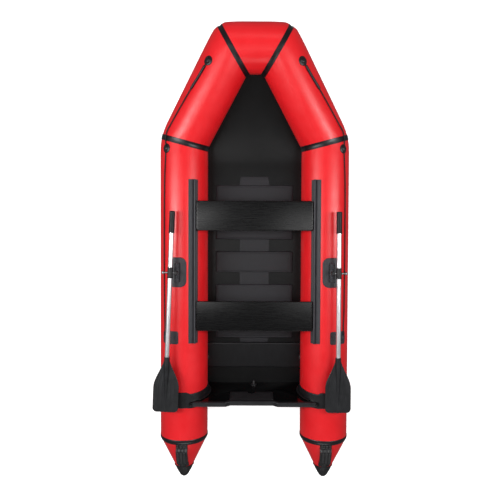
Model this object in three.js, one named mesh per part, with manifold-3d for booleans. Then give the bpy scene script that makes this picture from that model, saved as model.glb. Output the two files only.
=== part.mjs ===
// Inflatable dinghy with a raised bow, a plank transom, two sliding bench seats and two oars.
// Millimetres. +X starboard, +Y towards the bow, +Z up; the origin is on the ground amidships.
// Paired pieces are drawn for the starboard side and mirrored for port.

import * as THREE from 'three';
import { mergeVertices } from 'three/addons/utils/BufferGeometryUtils.js';
import Module from 'manifold-3d';

const wasm = await Module();
wasm.setup();

// ---------------------------------------------------------------- driving dimensions

const GAP = 0.5; // between pieces that touch
const RUNNING_GAP = 0.6; // between pieces that turn or slide in each other

// Buoyancy tubes: mitred panels of coated fabric, pumped hard
const TUBE_RADIUS = 171;
const TUBE_SIDES = 40;
const TUBE_WALL = 3;
const TUBE_SPACING = 511; // centreline of the boat to the axis of a side tube
const SHOULDER_Y = 834; // where the side tubes turn in towards the bow
const BOW_REACH = 608; // from the shoulders forward to the axis of the tube across the bow
const BOW_HALF = 157; // half the length of the tube across the bow, on its axis
const BOW_LIFT = 195; // how far the bow tube's axis stands above the side tubes'
const CONE_SEAM_Y = -1304;
const CONE_LENGTH = 224;
const CONE_END_RADIUS = 61;
const CAP_LENGTH = 85;
const CAP_NOSE_RADIUS = 32;
const CAP_WALL = 2.5;
const CAP_SKIRT = 12; // how far the cap's rim reaches up the cone
const TAPE_WIDTH = 40;
const TAPE_THICKNESS = 1.2;
const BULKHEAD_THICKNESS = 3;

// Stern carry handles on the cones
const HANDLE_WIDTH = 84;
const HANDLE_THICKNESS = 5;
const HANDLE_RISE = 26;
const HANDLE_FOOT = 34;
const HANDLE_START = 14; // from the cone seam
const HANDLE_CLEARANCE = 4; // to the rim of the cone's cap

// Floor: fabric bottom, a roll-up mat of slats, and a panel at the stern
const FLOOR_BOTTOM = 22;
const FLOOR_THICKNESS = 3;
const FLOOR_RISE_START = 134; // aft of the shoulders
const FLOOR_RISE_POWER = 1.7;
const FLOOR_BOW_ANGLE = 45; // below the bow tube's inner side, where the fabric joins it
const FLOOR_STATIONS = 22;
const FLOOR_EDGE_GAP = 2;
const WEB_THICKNESS = 2;
const WEB_WIDTH = 221;
const WEB_TAIL = 64; // ahead of the first slat
const SLAT_COUNT = 5;
const SLAT_THICKNESS = 15;
const SLAT_WIDTH = 580;
const SLAT_LENGTH = 158;
const SLAT_START = 294; // aft of the shoulders
const SLAT_END_SPACE = 36; // between the last slat and the stern panel
const SLAT_CORNER = 12;
const STERN_PANEL_START = 306; // ahead of the transom's foot
const STERN_PANEL_LENGTH = 190;
const STERN_PANEL_CLEARANCE = 12;

// Transom: a raked plank held between the tubes in rubber channels
const TRANSOM_FOOT_Y = -956;
const TRANSOM_RAKE = 10;
const TRANSOM_THICKNESS = 25;
const TRANSOM_RISE = 12; // above the crest of the tubes
const TRANSOM_TOP_ANGLE = 20.5; // where its top corners stand, inboard of the crest
const NOTCH_DEPTH = 20;
const NOTCH_HALF_FLOOR = 146;
const NOTCH_HALF_TOP = 190;
const NOTCH_SHIFT = -17; // the notch and its pads stand a little to port
const HOLDER_THICKNESS = 5;
const HOLDER_LENGTH = 110; // of its patch on the crest
const HOLDER_CORNER = 28;
const HOLDER_WAIST_ANGLES = [-21, -12]; // where the patch narrows to the strip below it
const HOLDER_AHEAD = 66; // of the plank, at the front of the patch
const HOLDER_STRIP_FRONT = 52; // strip ahead of the plank
const HOLDER_STRIP_BACK = 24; // and behind it
const HOLDER_OUTER_ANGLE = 28;
const HOLDER_INNER_ANGLE = -140;
const LIP_HEIGHT = 20;
const LIP_THICKNESS = 8;
const LIP_TOP_ANGLE = -40;
const LIP_BOTTOM_ANGLE = -132;
const TRIM_WALL = 4;
const TRIM_DEPTH = 15;
const TRIM_INSET = 20;
const AFTER_PAD_WIDTH = 284; // raised on the plank's after face
const AFTER_PAD_HEIGHT = 96;
const AFTER_PAD_DROP = 30;
const AFTER_PAD_RISE = 4;
const MOTOR_PLATE_WIDTH = 312;
const MOTOR_PLATE_HEIGHT = 118;
const MOTOR_PLATE_THICKNESS = 5;
const MOTOR_PLATE_DROP = 27; // below the notch
const MOTOR_PLATE_CORNER = 9;
const PLATE_HOLE_RADIUS = 28;
const DRAIN_HEIGHT = 46; // above the plank's foot
const DRAIN_SHANK_RADIUS = 12.5;
const DRAIN_HEAD_RADIUS = 22;
const DRAIN_HEAD_THICKNESS = 8;
const DRAIN_GRIP_RADIUS = 9;
const DRAIN_GRIP_LENGTH = 28;
const DRAIN_TAIL = 5;

// Seats on rubber rails
const RAIL_START = 281; // aft of the shoulders
const RAIL_LENGTH = 1151;
const RAIL_ANGLE = -28.5; // from the crest of the tube, inboard
const RAIL_HALF_ANGLE = 12;
const RAIL_THICKNESS = 5;
const RAIL_WEB_ANGLE = -33;
const RAIL_WEB_THICKNESS = 6;
const RAIL_BEAD_RADIUS = 7;
const RAIL_BEAD_DROP = 3; // bead's centre below the crest
const SEAT_END_SPACE = 6; // between a seat's end and the bead
const SEAT_LENGTH = 208;
const SEAT_THICKNESS = 18;
const SEAT_RISE = 10; // top face above the crest
const SEAT_CORNER = 16;
const SEAT_TONGUE_WIDTH = 26;
const SEAT_TONGUE_THICKNESS = 6;
const SEAT_TONGUE_DROP = 4; // from the seat's underside to the tongue
const FRONT_SEAT_INSET = 254; // seat's middle aft of the rails' front ends
const REAR_SEAT_INSET = 196; // seat's middle ahead of the rails' after ends

// Rowlocks and oars
const ROWLOCK_ANGLE = 9.75; // outboard of the crest
const ROWLOCK_Y = -97;
const ROWLOCK_PAD_ANGLES = [-11.8, 33.2];
const ROWLOCK_PAD_LENGTH = 210;
const ROWLOCK_PAD_CORNER = 32;
const ROWLOCK_PAD_THICKNESS = 5;
const HOUSING_WIDTH = 34;
const HOUSING_LENGTH = 136;
const HOUSING_RISE = 30; // above the crest
const POST_RADIUS = 8;
const POST_DEPTH = 20;
const BOSS_RADIUS = 14;
const BOSS_HEIGHT = 42;
const PIN_RADIUS = 6;
const PIN_RISE = 28; // above the housing
const PIN_LENGTH = 98;
const NUT_RADIUS = 11;
const NUT_LENGTH = 9;
const OAR_OFFSET = 40; // from the swivel's axis to the oar's
const OAR_YAW = { starboard: 0.05, port: 2.1 }; // blades lie slightly outboard
const SHAFT_RADIUS = 16;
const SHAFT_WALL = 1.6;
const SLEEVE_WALL = 3;
const COLLAR_LENGTH = 75;
const GRIP_FRONT = 424; // forward of the pin
const GRIP_LENGTH = 150;
const GRIP_END = 8;
const BLADE_SOCKET_START = 582; // aft of the pin
const BLADE_SOCKET_DEPTH = 70;
const BLADE_END = 967;
const BLADE_SHOULDER_END = 777;
const BLADE_HALF_WIDTH = 89;
const BLADE_THICKNESS = 7;
const BLADE_CORNER = 30;
const BLADE_SPINE_HEIGHT = 4; // of the tapered spine above the flat

// Lifelines and their fittings
const ROPE_RADIUS = 4;
const ROPE_SIDES = 8;
const ROPE_STEPS = 42;
const ROPE_LIFT = 7.5; // from the tube's skin to the rope's axis at a fitting
const EYE_RADIUS = 33;
const EYE_HEIGHT = 16;
const EYE_HOLE_GAP = 1.6;
const BOW_EYE = { along: 0.8, angle: 27 }; // share of the quarter tube, degrees outboard
const SIDE_EYE = { aft: 63, angle: 39.5 }; // millimetres aft of the shoulder, degrees outboard
const PATCH_Y = -558;
const PATCH_LENGTH = 92;
const PATCH_INNER_ANGLE = 7;
const PATCH_OUTER_ANGLE = 44;
const PATCH_THICKNESS = 4;
const PATCH_KNOB_ANGLE = 11;
const PATCH_KNOB_RADIUS = 9;
const PATCH_KNOB_HEIGHT = 12;
const PATCH_EYE_ANGLE = 42;
const PATCH_EYE_WIDTH = 22;
const PATCH_EYE_LENGTH = 30;
const PATCH_EYE_HEIGHT = 15;

// Valves on the inboard sides of the side tubes, one to a chamber
const VALVE_Y = -740;
const VALVE_DROP = 16; // degrees below the tube's inboard side
const VALVE_FLANGE_RADIUS = 32;
const VALVE_FLANGE_THICKNESS = 4;
const VALVE_BARREL_RADIUS = 24;
const VALVE_BARREL_DEPTH = 32;
const VALVE_BORE_RADIUS = 16;
const VALVE_SEAT_RADIUS = 9;
const VALVE_SEAT_THICKNESS = 5;
const STEM_RADIUS = 4.5;
const STEM_HEAD_RADIUS = 10;
const STEM_HEAD_THICKNESS = 4;
const STEM_HEAD_DEPTH = 16; // from the flange's face
const POPPET_RADIUS = 14;
const POPPET_THICKNESS = 3;
const VALVE_CAP_RADIUS = 22;
const VALVE_CAP_THICKNESS = 6;
const VALVE_PLUG_DEPTH = 8;

// A lifeline's route on the starboard side, from the bow eye to the eye on the after patch
const LIFELINE_ROUTE = [
  [319, 1324, 481], [339, 1291, 471], [380, 1231, 447], [430, 1164, 419],
  [482, 1090, 388], [533, 1015, 358], [583, 939, 329], [618, 882, 311],
  [626, 815, 308], [625, 795, 310], [625, 771, 310], [625, 747, 310],
  [628, 690, 307], [634, 560, 302], [637, 380, 298], [638, 180, 297],
  [638, -20, 297], [637, -220, 298], [635, -400, 301], [632, -470, 304],
  [632, -505, 307], [632, -525, 307], [632, -542, 307],
];

// ---------------------------------------------------------------- places worked out from them

const vector = (x, y, z) => new THREE.Vector3(x, y, z);
const degrees = THREE.MathUtils.degToRad;
const SKIN = TUBE_RADIUS + GAP;
const TUBE_Z = (SKIN + TAPE_THICKNESS) * Math.cos(Math.PI / TUBE_SIDES);
const CREST = TUBE_Z + TUBE_RADIUS;
const BOW_AXIS_Y = SHOULDER_Y + BOW_REACH;
const FLOOR_RISE_Y = SHOULDER_Y - FLOOR_RISE_START;
const FLOOR_TOP = FLOOR_BOTTOM + FLOOR_THICKNESS;
const WEB_TOP = FLOOR_TOP + GAP + WEB_THICKNESS;
const SLAT_BOTTOM = WEB_TOP + GAP;
const SLAT_FRONT_Y = SHOULDER_Y - SLAT_START;
const STERN_PANEL_FRONT_Y = TRANSOM_FOOT_Y + STERN_PANEL_START;
const slatRun = SLAT_FRONT_Y - STERN_PANEL_FRONT_Y - SLAT_END_SPACE;
const SLAT_PITCH = (slatRun - SLAT_LENGTH) / (SLAT_COUNT - 1);
const overTube = (angle) => TUBE_SPACING + SKIN * Math.sin(degrees(angle));
const TRANSOM_HALF_WIDTH = overTube(-TRANSOM_TOP_ANGLE);
const RAIL_FRONT_Y = SHOULDER_Y - RAIL_START;
const RAIL_BACK_Y = RAIL_FRONT_Y - RAIL_LENGTH;
const RAIL_WEB_X = overTube(RAIL_WEB_ANGLE);
const RAIL_BEAD_Z = CREST - RAIL_BEAD_DROP;
const SEAT_WIDTH = 2 * (RAIL_WEB_X - RAIL_BEAD_RADIUS - SEAT_END_SPACE);
const SEAT_TOP = CREST + SEAT_RISE;
const ROWLOCK_X = overTube(ROWLOCK_ANGLE);
const HOUSING_TOP = CREST + HOUSING_RISE;
const PIN_HEIGHT = HOUSING_TOP + PIN_RISE;
const coneSlope = (TUBE_RADIUS - CONE_END_RADIUS) / CONE_LENGTH;
const STERN = vector(TUBE_SPACING, CONE_SEAM_Y, TUBE_Z);
const SHOULDER = vector(TUBE_SPACING, SHOULDER_Y, TUBE_Z);
const BOW_CORNER = vector(BOW_HALF, BOW_AXIS_Y, TUBE_Z + BOW_LIFT);
const FAR_CORNER = vector(-BOW_HALF, BOW_AXIS_Y, TUBE_Z + BOW_LIFT);
const SIDES = { starboard: 1, port: -1 };

// ---------------------------------------------------------------- finishes

const finish = (color, roughness, metalness = 0) => ({ color, roughness, metalness });
const RED_FABRIC = finish(0xe8262b, 0.42);
const TAPE = finish(0x232427, 0.6);
const RUBBER = finish(0x34353a, 0.65);
const BLACK_FABRIC = finish(0x0d0d0f, 0.6);
const BLACK_BOARD = finish(0x151517, 0.35);
const TRIM = finish(0x4a4b50, 0.5);
const SEAT_BOARD = finish(0x1b1b1d, 0.45);
const PLASTIC = finish(0x18181a, 0.45);
const ALUMINIUM = finish(0xe4e6ea, 0.3, 0.9);
const STEEL = finish(0xc2c3c6, 0.25, 1);
const ROPE = finish(0x101012, 0.8);

// ---------------------------------------------------------------- geometry helpers

function enclosedVolume(geometry) {
  const { position } = geometry.attributes;
  const order = geometry.index ? geometry.index.array : [...Array(position.count).keys()];
  const [a, b, c] = [vector(0, 0, 0), vector(0, 0, 0), vector(0, 0, 0)];
  let total = 0;
  for (let i = 0; i < order.length; i += 3) {
    a.fromBufferAttribute(position, order[i]);
    b.fromBufferAttribute(position, order[i + 1]);
    c.fromBufferAttribute(position, order[i + 2]);
    total += a.dot(b.cross(c)) / 6;
  }
  return total;
}

// Positions only, shared corners merged, faces turned outwards.
function closed(geometry) {
  const bare = geometry.clone();
  bare.deleteAttribute('normal');
  bare.deleteAttribute('uv');
  const merged = mergeVertices(bare, 1e-4);
  if (enclosedVolume(merged) < 0) merged.index.array.reverse();
  return merged;
}

function solid(geometry) {
  const { index, attributes } = closed(geometry);
  const vertProperties = new Float32Array(attributes.position.array);
  const triVerts = new Uint32Array(index.array);
  return new wasm.Manifold(new wasm.Mesh({ numProp: 3, vertProperties, triVerts }));
}

function geometryOf(manifold) {
  const { vertProperties, triVerts } = manifold.getMesh();
  const geometry = new THREE.BufferGeometry();
  geometry.setAttribute('position', new THREE.BufferAttribute(vertProperties, 3));
  geometry.setIndex(new THREE.BufferAttribute(triVerts, 1));
  return geometry;
}

function place(geometry, origin, across, up, normal) {
  const matrix = new THREE.Matrix4().makeBasis(across, up, normal).setPosition(origin);
  return closed(geometry.applyMatrix4(matrix));
}

function forSide(geometry, side) {
  return closed(geometry.clone().scale(SIDES[side], 1, 1));
}

function extrude(shape, depth, curveSegments = 3) {
  return new THREE.ExtrudeGeometry(shape, { depth, curveSegments, bevelEnabled: false });
}

// A shape in X and Z, carried along Y.
function alongY(shape, fromY, toY, curveSegments) {
  const across = vector(1, 0, 0);
  const up = vector(0, 0, 1);
  const geometry = extrude(shape, toY - fromY, curveSegments);
  return place(geometry, vector(0, toY, 0), across, up, vector(0, -1, 0));
}

// A plan shape, carried up.
function upright(shape, fromZ, toZ, curveSegments) {
  return closed(extrude(shape, toZ - fromZ, curveSegments).translate(0, 0, fromZ));
}

function roundedRectangle(fromX, toX, fromY, toY, corner) {
  const shape = new THREE.Shape();
  shape.moveTo(fromX + corner, fromY);
  shape.lineTo(toX - corner, fromY);
  shape.absarc(toX - corner, fromY + corner, corner, -Math.PI / 2, 0);
  shape.absarc(toX - corner, toY - corner, corner, 0, Math.PI / 2);
  shape.absarc(fromX + corner, toY - corner, corner, Math.PI / 2, Math.PI);
  shape.absarc(fromX + corner, fromY + corner, corner, Math.PI, Math.PI * 1.5);
  return shape;
}

function polygon(points) {
  return new THREE.Shape(points.map(([x, y]) => new THREE.Vector2(x, y)));
}

// Part of a ring round a side tube; angles in degrees from its crest, outboard positive.
function ringSector(innerRadius, outerRadius, fromAngle, toAngle) {
  const shape = new THREE.Shape();
  const from = degrees(90 - fromAngle);
  const to = degrees(90 - toAngle);
  shape.absarc(TUBE_SPACING, TUBE_Z, outerRadius, from, to, true);
  shape.absarc(TUBE_SPACING, TUBE_Z, innerRadius, to, from, false);
  return shape;
}

// A turned piece: [radius, height] pairs spun round the line from origin along axis.
function turned(profile, sides, origin, axis) {
  const points = profile.map(([radius, height]) => new THREE.Vector2(radius, height));
  const turn = new THREE.Quaternion().setFromUnitVectors(vector(0, 1, 0), axis.clone().normalize());
  const geometry = new THREE.LatheGeometry(points, sides).applyQuaternion(turn);
  return closed(geometry.translate(origin.x, origin.y, origin.z));
}

function rod(radius, from, to, sides) {
  const length = from.distanceTo(to);
  const profile = [[0, 0], [radius, 0], [radius, length], [0, length]];
  return turned(profile, sides, from, to.clone().sub(from));
}

// Rings of points joined in turn. The last ring joins the first, or both ends are closed.
function loft(rings, ends) {
  const count = rings[0].length;
  const order = [];
  const spans = ends === 'joined' ? rings.length : rings.length - 1;
  for (let i = 0; i < spans; i++) {
    const here = i * count;
    const next = ((i + 1) % rings.length) * count;
    for (let k = 0; k < count; k++) {
      const after = (k + 1) % count;
      order.push(here + k, here + after, next + after, here + k, next + after, next + k);
    }
  }
  if (ends === 'capped') {
    const last = (rings.length - 1) * count;
    for (let k = 1; k < count - 1; k++) order.push(0, k + 1, k, last, last + k, last + k + 1);
  }
  const geometry = new THREE.BufferGeometry().setFromPoints(rings.flat());
  geometry.setIndex(order);
  return closed(geometry);
}

const group = new THREE.Group();

function addPiece(name, geometry, look, parent = group) {
  const mesh = new THREE.Mesh(geometry, new THREE.MeshStandardMaterial(look));
  mesh.name = name;
  parent.add(mesh);
}

function addPair(name, geometry, look) {
  for (const side of Object.keys(SIDES)) addPiece(`${side}_${name}`, forSide(geometry, side), look);
}

// ---------------------------------------------------------------- tube frames

// The cross axes of each tube; at a mitre the next tube's axes are the mirror image of the last's,
// so that both tubes share the corners of one cut ring.
function mirrored(axis, normal) {
  return axis.clone().addScaledVector(normal, -2 * axis.dot(normal));
}

function mitre(before, corner, after) {
  const incoming = corner.clone().sub(before).normalize();
  const outgoing = after.clone().sub(corner).normalize();
  return { point: corner, normal: incoming.add(outgoing).normalize() };
}

const shoulderMitre = mitre(STERN, SHOULDER, BOW_CORNER);
const bowMitre = mitre(SHOULDER, BOW_CORNER, FAR_CORNER);
const farMitre = {
  point: FAR_CORNER,
  normal: vector(bowMitre.normal.x, -bowMitre.normal.y, -bowMitre.normal.z),
};
const sternCut = { point: STERN, normal: vector(0, 1, 0) };

const sideFrame = { along: vector(0, 1, 0), out: vector(1, 0, 0), up: vector(0, 0, 1) };
const quarterFrame = {
  along: BOW_CORNER.clone().sub(SHOULDER).normalize(),
  out: mirrored(sideFrame.out, shoulderMitre.normal),
  up: mirrored(sideFrame.up, shoulderMitre.normal),
};
const bowFrame = {
  along: vector(-1, 0, 0),
  out: mirrored(quarterFrame.out, bowMitre.normal),
  up: mirrored(quarterFrame.up, bowMitre.normal),
};

// The ring where a tube of this radius meets a plane, moved along the tube by shift.
function cutRing(radius, frame, cut, shift) {
  return Array.from({ length: TUBE_SIDES }, (_, k) => {
    const angle = ((k + 0.5) / TUBE_SIDES) * Math.PI * 2;
    const point = cut.point.clone();
    point.addScaledVector(frame.out, radius * Math.cos(angle));
    point.addScaledVector(frame.up, radius * Math.sin(angle));
    const reach = cut.point.clone().sub(point).dot(cut.normal) / frame.along.dot(cut.normal);
    return point.addScaledVector(frame.along, reach + shift);
  });
}

function pipe(frame, from, to) {
  const inner = TUBE_RADIUS - TUBE_WALL;
  const shrink = GAP / 2;
  const rings = [
    cutRing(TUBE_RADIUS, frame, from, shrink),
    cutRing(TUBE_RADIUS, frame, to, -shrink),
    cutRing(inner, frame, to, -shrink),
    cutRing(inner, frame, from, shrink),
  ];
  return loft(rings, 'joined');
}

// A band glued over a mitre, half its width on each tube.
function seamTape(before, after, cut) {
  const inner = SKIN;
  const outer = SKIN + TAPE_THICKNESS;
  const half = TAPE_WIDTH / 2;
  const rings = [
    cutRing(outer, before, cut, -half),
    cutRing(outer, before, cut, 0),
    cutRing(outer, after, cut, half),
    cutRing(inner, after, cut, half),
    cutRing(inner, before, cut, 0),
    cutRing(inner, before, cut, -half),
  ];
  return loft(rings, 'joined');
}

// ---------------------------------------------------------------- tubes

const SIDE_NORMAL_ANGLE = degrees(180 + VALVE_DROP);
const valveNormal = vector(Math.cos(SIDE_NORMAL_ANGLE), 0, Math.sin(SIDE_NORMAL_ANGLE));
const valveFoot = vector(TUBE_SPACING, VALVE_Y, TUBE_Z).addScaledVector(valveNormal, TUBE_RADIUS);

function fromValve(height) {
  return valveFoot.clone().addScaledVector(valveNormal, height);
}

function sideTube() {
  const hole = rod(VALVE_BARREL_RADIUS + GAP, fromValve(-2 * TUBE_WALL), fromValve(TUBE_WALL), 24);
  return geometryOf(solid(pipe(sideFrame, sternCut, shoulderMitre)).subtract(solid(hole)));
}

function sternCone() {
  const front = vector(TUBE_SPACING, CONE_SEAM_Y - GAP / 2, TUBE_Z);
  const back = vector(TUBE_SPACING, CONE_SEAM_Y - CONE_LENGTH, TUBE_Z);
  const ring = (centre, radius) =>
    cutRing(radius, sideFrame, { point: centre, normal: sideFrame.along }, 0);
  const frontRadius = TUBE_RADIUS - (GAP / 2) * coneSlope;
  const rings = [
    ring(front, frontRadius),
    ring(back, CONE_END_RADIUS),
    ring(back, CONE_END_RADIUS - TUBE_WALL),
    ring(front, frontRadius - TUBE_WALL),
  ];
  return loft(rings, 'joined');
}

// A cup over the end of the cone, rounded at the tip.
function coneCap() {
  const flare = CAP_SKIRT * coneSlope;
  const inside = CONE_END_RADIUS + 2 * GAP;
  const outside = inside + CAP_WALL;
  const noseY = CAP_LENGTH - CAP_NOSE_RADIUS;
  const profile = [
    [0, GAP], [inside, GAP], [inside + flare, -CAP_SKIRT], [outside + flare, -CAP_SKIRT], [outside, 2],
  ];
  const turns = 4;
  for (let i = 0; i <= turns; i++) {
    const angle = degrees(25 + (65 * i) / turns);
    const radius = i === turns ? 0 : CAP_NOSE_RADIUS * Math.cos(angle);
    profile.push([radius, noseY + CAP_NOSE_RADIUS * Math.sin(angle)]);
  }
  const origin = vector(TUBE_SPACING, CONE_SEAM_Y - CONE_LENGTH, TUBE_Z);
  return turned(profile, 20, origin, vector(0, -1, 0));
}

function bulkhead() {
  const radius = TUBE_RADIUS - TUBE_WALL - GAP;
  const plane = (x) => ({ point: vector(x, BOW_AXIS_Y, BOW_CORNER.z), normal: bowFrame.along });
  const half = BULKHEAD_THICKNESS / 2;
  const rings = [plane(-half), plane(half)].map((cut) => cutRing(radius, bowFrame, cut, 0));
  return loft(rings, 'capped');
}

addPair('side_tube', sideTube(), RED_FABRIC);
addPair('bow_quarter_tube', pipe(quarterFrame, shoulderMitre, bowMitre), RED_FABRIC);
addPiece('bow_tube', pipe(bowFrame, bowMitre, farMitre), RED_FABRIC);
addPair('stern_cone', sternCone(), RED_FABRIC);
addPair('shoulder_seam_tape', seamTape(sideFrame, quarterFrame, shoulderMitre), TAPE);
addPair('bow_seam_tape', seamTape(quarterFrame, bowFrame, bowMitre), TAPE);
addPair('cone_cap', coneCap(), RUBBER);
addPiece('bow_bulkhead', bulkhead(), BLACK_FABRIC);

// ---------------------------------------------------------------- stern handles

// A strap that arches over the cone's upper side between two feet, drawn in the cone's slope.
function sternHandle() {
  const slope = Math.atan(coneSlope);
  const along = vector(0, -Math.cos(slope), -Math.sin(slope));
  const normal = vector(0, -Math.sin(slope), Math.cos(slope));
  const origin = vector(TUBE_SPACING, CONE_SEAM_Y, TUBE_Z + TUBE_RADIUS);
  const length = Math.hypot(CONE_LENGTH, TUBE_RADIUS - CONE_END_RADIUS);
  const start = HANDLE_START;
  const end = length - CAP_SKIRT - HANDLE_CLEARANCE;
  const inner = HANDLE_RISE - HANDLE_THICKNESS;
  const outline = polygon([
    [start, GAP], [start + HANDLE_FOOT, GAP], [start + HANDLE_FOOT * 1.7, inner],
    [end - HANDLE_FOOT * 1.7, inner], [end - HANDLE_FOOT, GAP], [end, GAP],
    [end, HANDLE_THICKNESS], [end - HANDLE_FOOT * 0.9, HANDLE_THICKNESS + 2],
    [end - HANDLE_FOOT * 1.5, HANDLE_RISE], [start + HANDLE_FOOT * 1.5, HANDLE_RISE],
    [start + HANDLE_FOOT * 0.9, HANDLE_THICKNESS + 2], [start, HANDLE_THICKNESS],
  ]);
  const strap = extrude(outline, HANDLE_WIDTH).translate(0, 0, -HANDLE_WIDTH / 2);
  const across = vector(1, 0, 0);
  return place(strap, origin, along, normal, across);
}

addPair('stern_handle', sternHandle(), RUBBER);

// ---------------------------------------------------------------- floor

function floorHeight(y) {
  const endY = BOW_AXIS_Y - TUBE_RADIUS * Math.cos(degrees(FLOOR_BOW_ANGLE));
  const endZ = BOW_CORNER.z - TUBE_RADIUS * Math.sin(degrees(FLOOR_BOW_ANGLE));
  const share = Math.max(0, (y - FLOOR_RISE_Y) / (endY - FLOOR_RISE_Y));
  return FLOOR_BOTTOM + (endZ - FLOOR_BOTTOM) * share ** FLOOR_RISE_POWER;
}

// Half the width between two tubes at this height: the nearer crossing of the line along X with
// the cylinder round axis.
function halfWidthTo(corner, along, y, z) {
  const offset = vector(-corner.x, y - corner.y, z - corner.z);
  const across = vector(1, 0, 0).addScaledVector(along, -along.x);
  const level = offset.clone().addScaledVector(along, -offset.dot(along));
  const a = across.lengthSq();
  const b = across.dot(level);
  const c = level.lengthSq() - (TUBE_RADIUS + FLOOR_EDGE_GAP) ** 2;
  return (-b - Math.sqrt(Math.max(0, b * b - a * c))) / a;
}

function floorHalfWidth(y) {
  const levels = [floorHeight(y), floorHeight(y) + FLOOR_THICKNESS];
  const widths = levels.flatMap((z) => [
    halfWidthTo(STERN, sideFrame.along, y, z),
    halfWidthTo(SHOULDER, quarterFrame.along, y, z),
  ]);
  return Math.min(...widths);
}

function floorFabric() {
  const inset = Math.cos(degrees(FLOOR_BOW_ANGLE)) * TUBE_RADIUS + 2 * FLOOR_EDGE_GAP;
  const frontY = BOW_AXIS_Y - inset - FLOOR_THICKNESS;
  const backY = TRANSOM_FOOT_Y - TRANSOM_THICKNESS;
  const rings = [backY];
  for (let i = 0; i <= FLOOR_STATIONS; i++) {
    rings.push(FLOOR_RISE_Y + ((frontY - FLOOR_RISE_Y) * i) / FLOOR_STATIONS);
  }
  const section = (y) => {
    const half = floorHalfWidth(y);
    const low = floorHeight(y);
    const high = low + FLOOR_THICKNESS;
    return [vector(-half, y, low), vector(half, y, low), vector(half, y, high), vector(-half, y, high)];
  };
  return loft(rings.map(section), 'capped');
}

function slat(index) {
  const frontY = SLAT_FRONT_Y - index * SLAT_PITCH;
  const half = SLAT_WIDTH / 2;
  const outline = roundedRectangle(-half, half, frontY - SLAT_LENGTH, frontY, SLAT_CORNER);
  return upright(outline, SLAT_BOTTOM, SLAT_BOTTOM + SLAT_THICKNESS, 2);
}

function slatWeb() {
  const half = WEB_WIDTH / 2;
  const outline = roundedRectangle(-half, half, STERN_PANEL_FRONT_Y + GAP, SLAT_FRONT_Y + WEB_TAIL, SLAT_CORNER);
  return upright(outline, FLOOR_TOP + GAP, WEB_TOP, 2);
}

function sternPanel() {
  const drop = TUBE_Z - SLAT_BOTTOM;
  const reach = Math.sqrt(SKIN ** 2 - Math.min(drop, SKIN) ** 2);
  const upperReach = Math.sqrt(SKIN ** 2 - (drop - SLAT_THICKNESS) ** 2);
  const half = TUBE_SPACING - Math.max(reach, upperReach) - STERN_PANEL_CLEARANCE;
  const backY = STERN_PANEL_FRONT_Y - STERN_PANEL_LENGTH;
  const outline = roundedRectangle(-half, half, backY, STERN_PANEL_FRONT_Y, SLAT_CORNER);
  return upright(outline, SLAT_BOTTOM, SLAT_BOTTOM + SLAT_THICKNESS, 2);
}

addPiece('floor_fabric', floorFabric(), BLACK_FABRIC);
for (let i = 0; i < SLAT_COUNT; i++) addPiece(`floor_slat_${i + 1}`, slat(i), BLACK_BOARD);
addPiece('floor_slat_web', slatWeb(), BLACK_FABRIC);
addPiece('floor_stern_panel', sternPanel(), BLACK_BOARD);

// ---------------------------------------------------------------- transom

// The plank's own frame: X across, up its slope, and out of its forward face.
const rake = degrees(TRANSOM_RAKE);
const plank = {
  across: vector(1, 0, 0),
  up: vector(0, -Math.sin(rake), Math.cos(rake)),
  normal: vector(0, Math.cos(rake), Math.sin(rake)),
  foot: vector(0, TRANSOM_FOOT_Y, FLOOR_TOP + GAP + TRANSOM_THICKNESS * Math.sin(rake)),
};
const TRANSOM_HEIGHT = (CREST + TRANSOM_RISE - plank.foot.z) / Math.cos(rake);

// A shape in the plank's plane, from one depth to another in front of the forward face.
function onPlank(shape, fromDepth, toDepth, curveSegments) {
  const origin = plank.foot.clone().addScaledVector(plank.normal, fromDepth);
  const geometry = extrude(shape, toDepth - fromDepth, curveSegments);
  return place(geometry, origin, plank.across, plank.up, plank.normal);
}

// The plank's top edge from port to starboard, raised by rise.
function topEdge(halfWidth, rise) {
  const high = TRANSOM_HEIGHT + rise;
  const low = high - NOTCH_DEPTH;
  return [
    [-halfWidth, high], [NOTCH_SHIFT - NOTCH_HALF_TOP, high], [NOTCH_SHIFT - NOTCH_HALF_FLOOR, low],
    [NOTCH_SHIFT + NOTCH_HALF_FLOOR, low], [NOTCH_SHIFT + NOTCH_HALF_TOP, high], [halfWidth, high],
  ];
}

function tubeCutter(radius) {
  const from = vector(TUBE_SPACING, CONE_SEAM_Y, TUBE_Z);
  const to = vector(TUBE_SPACING, 0, TUBE_Z);
  return rod(radius / Math.cos(Math.PI / 48), from, to, 48);
}

function transomBoard() {
  const half = TRANSOM_HALF_WIDTH;
  const outline = polygon([[-half, 0], ...topEdge(half, 0), [half, 0]]);
  let board = solid(onPlank(outline, -TRANSOM_THICKNESS, 0));
  const room = tubeCutter(SKIN + HOLDER_THICKNESS + GAP);
  for (const side of Object.keys(SIDES)) board = board.subtract(solid(forSide(room, side)));
  const top = TRANSOM_HEIGHT - NOTCH_DEPTH - AFTER_PAD_DROP;
  const port = NOTCH_SHIFT - AFTER_PAD_WIDTH / 2;
  const starboard = NOTCH_SHIFT + AFTER_PAD_WIDTH / 2;
  const pad = roundedRectangle(port, starboard, top - AFTER_PAD_HEIGHT, top, MOTOR_PLATE_CORNER);
  board = board.add(solid(onPlank(pad, -TRANSOM_THICKNESS - AFTER_PAD_RISE, 1 - TRANSOM_THICKNESS, 2)));
  const hole = new THREE.Shape();
  hole.absarc(0, DRAIN_HEIGHT, DRAIN_SHANK_RADIUS + RUNNING_GAP, 0, Math.PI * 2);
  return geometryOf(board.subtract(solid(onPlank(hole, -TRANSOM_THICKNESS - 1, 1, 10))));
}

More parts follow.
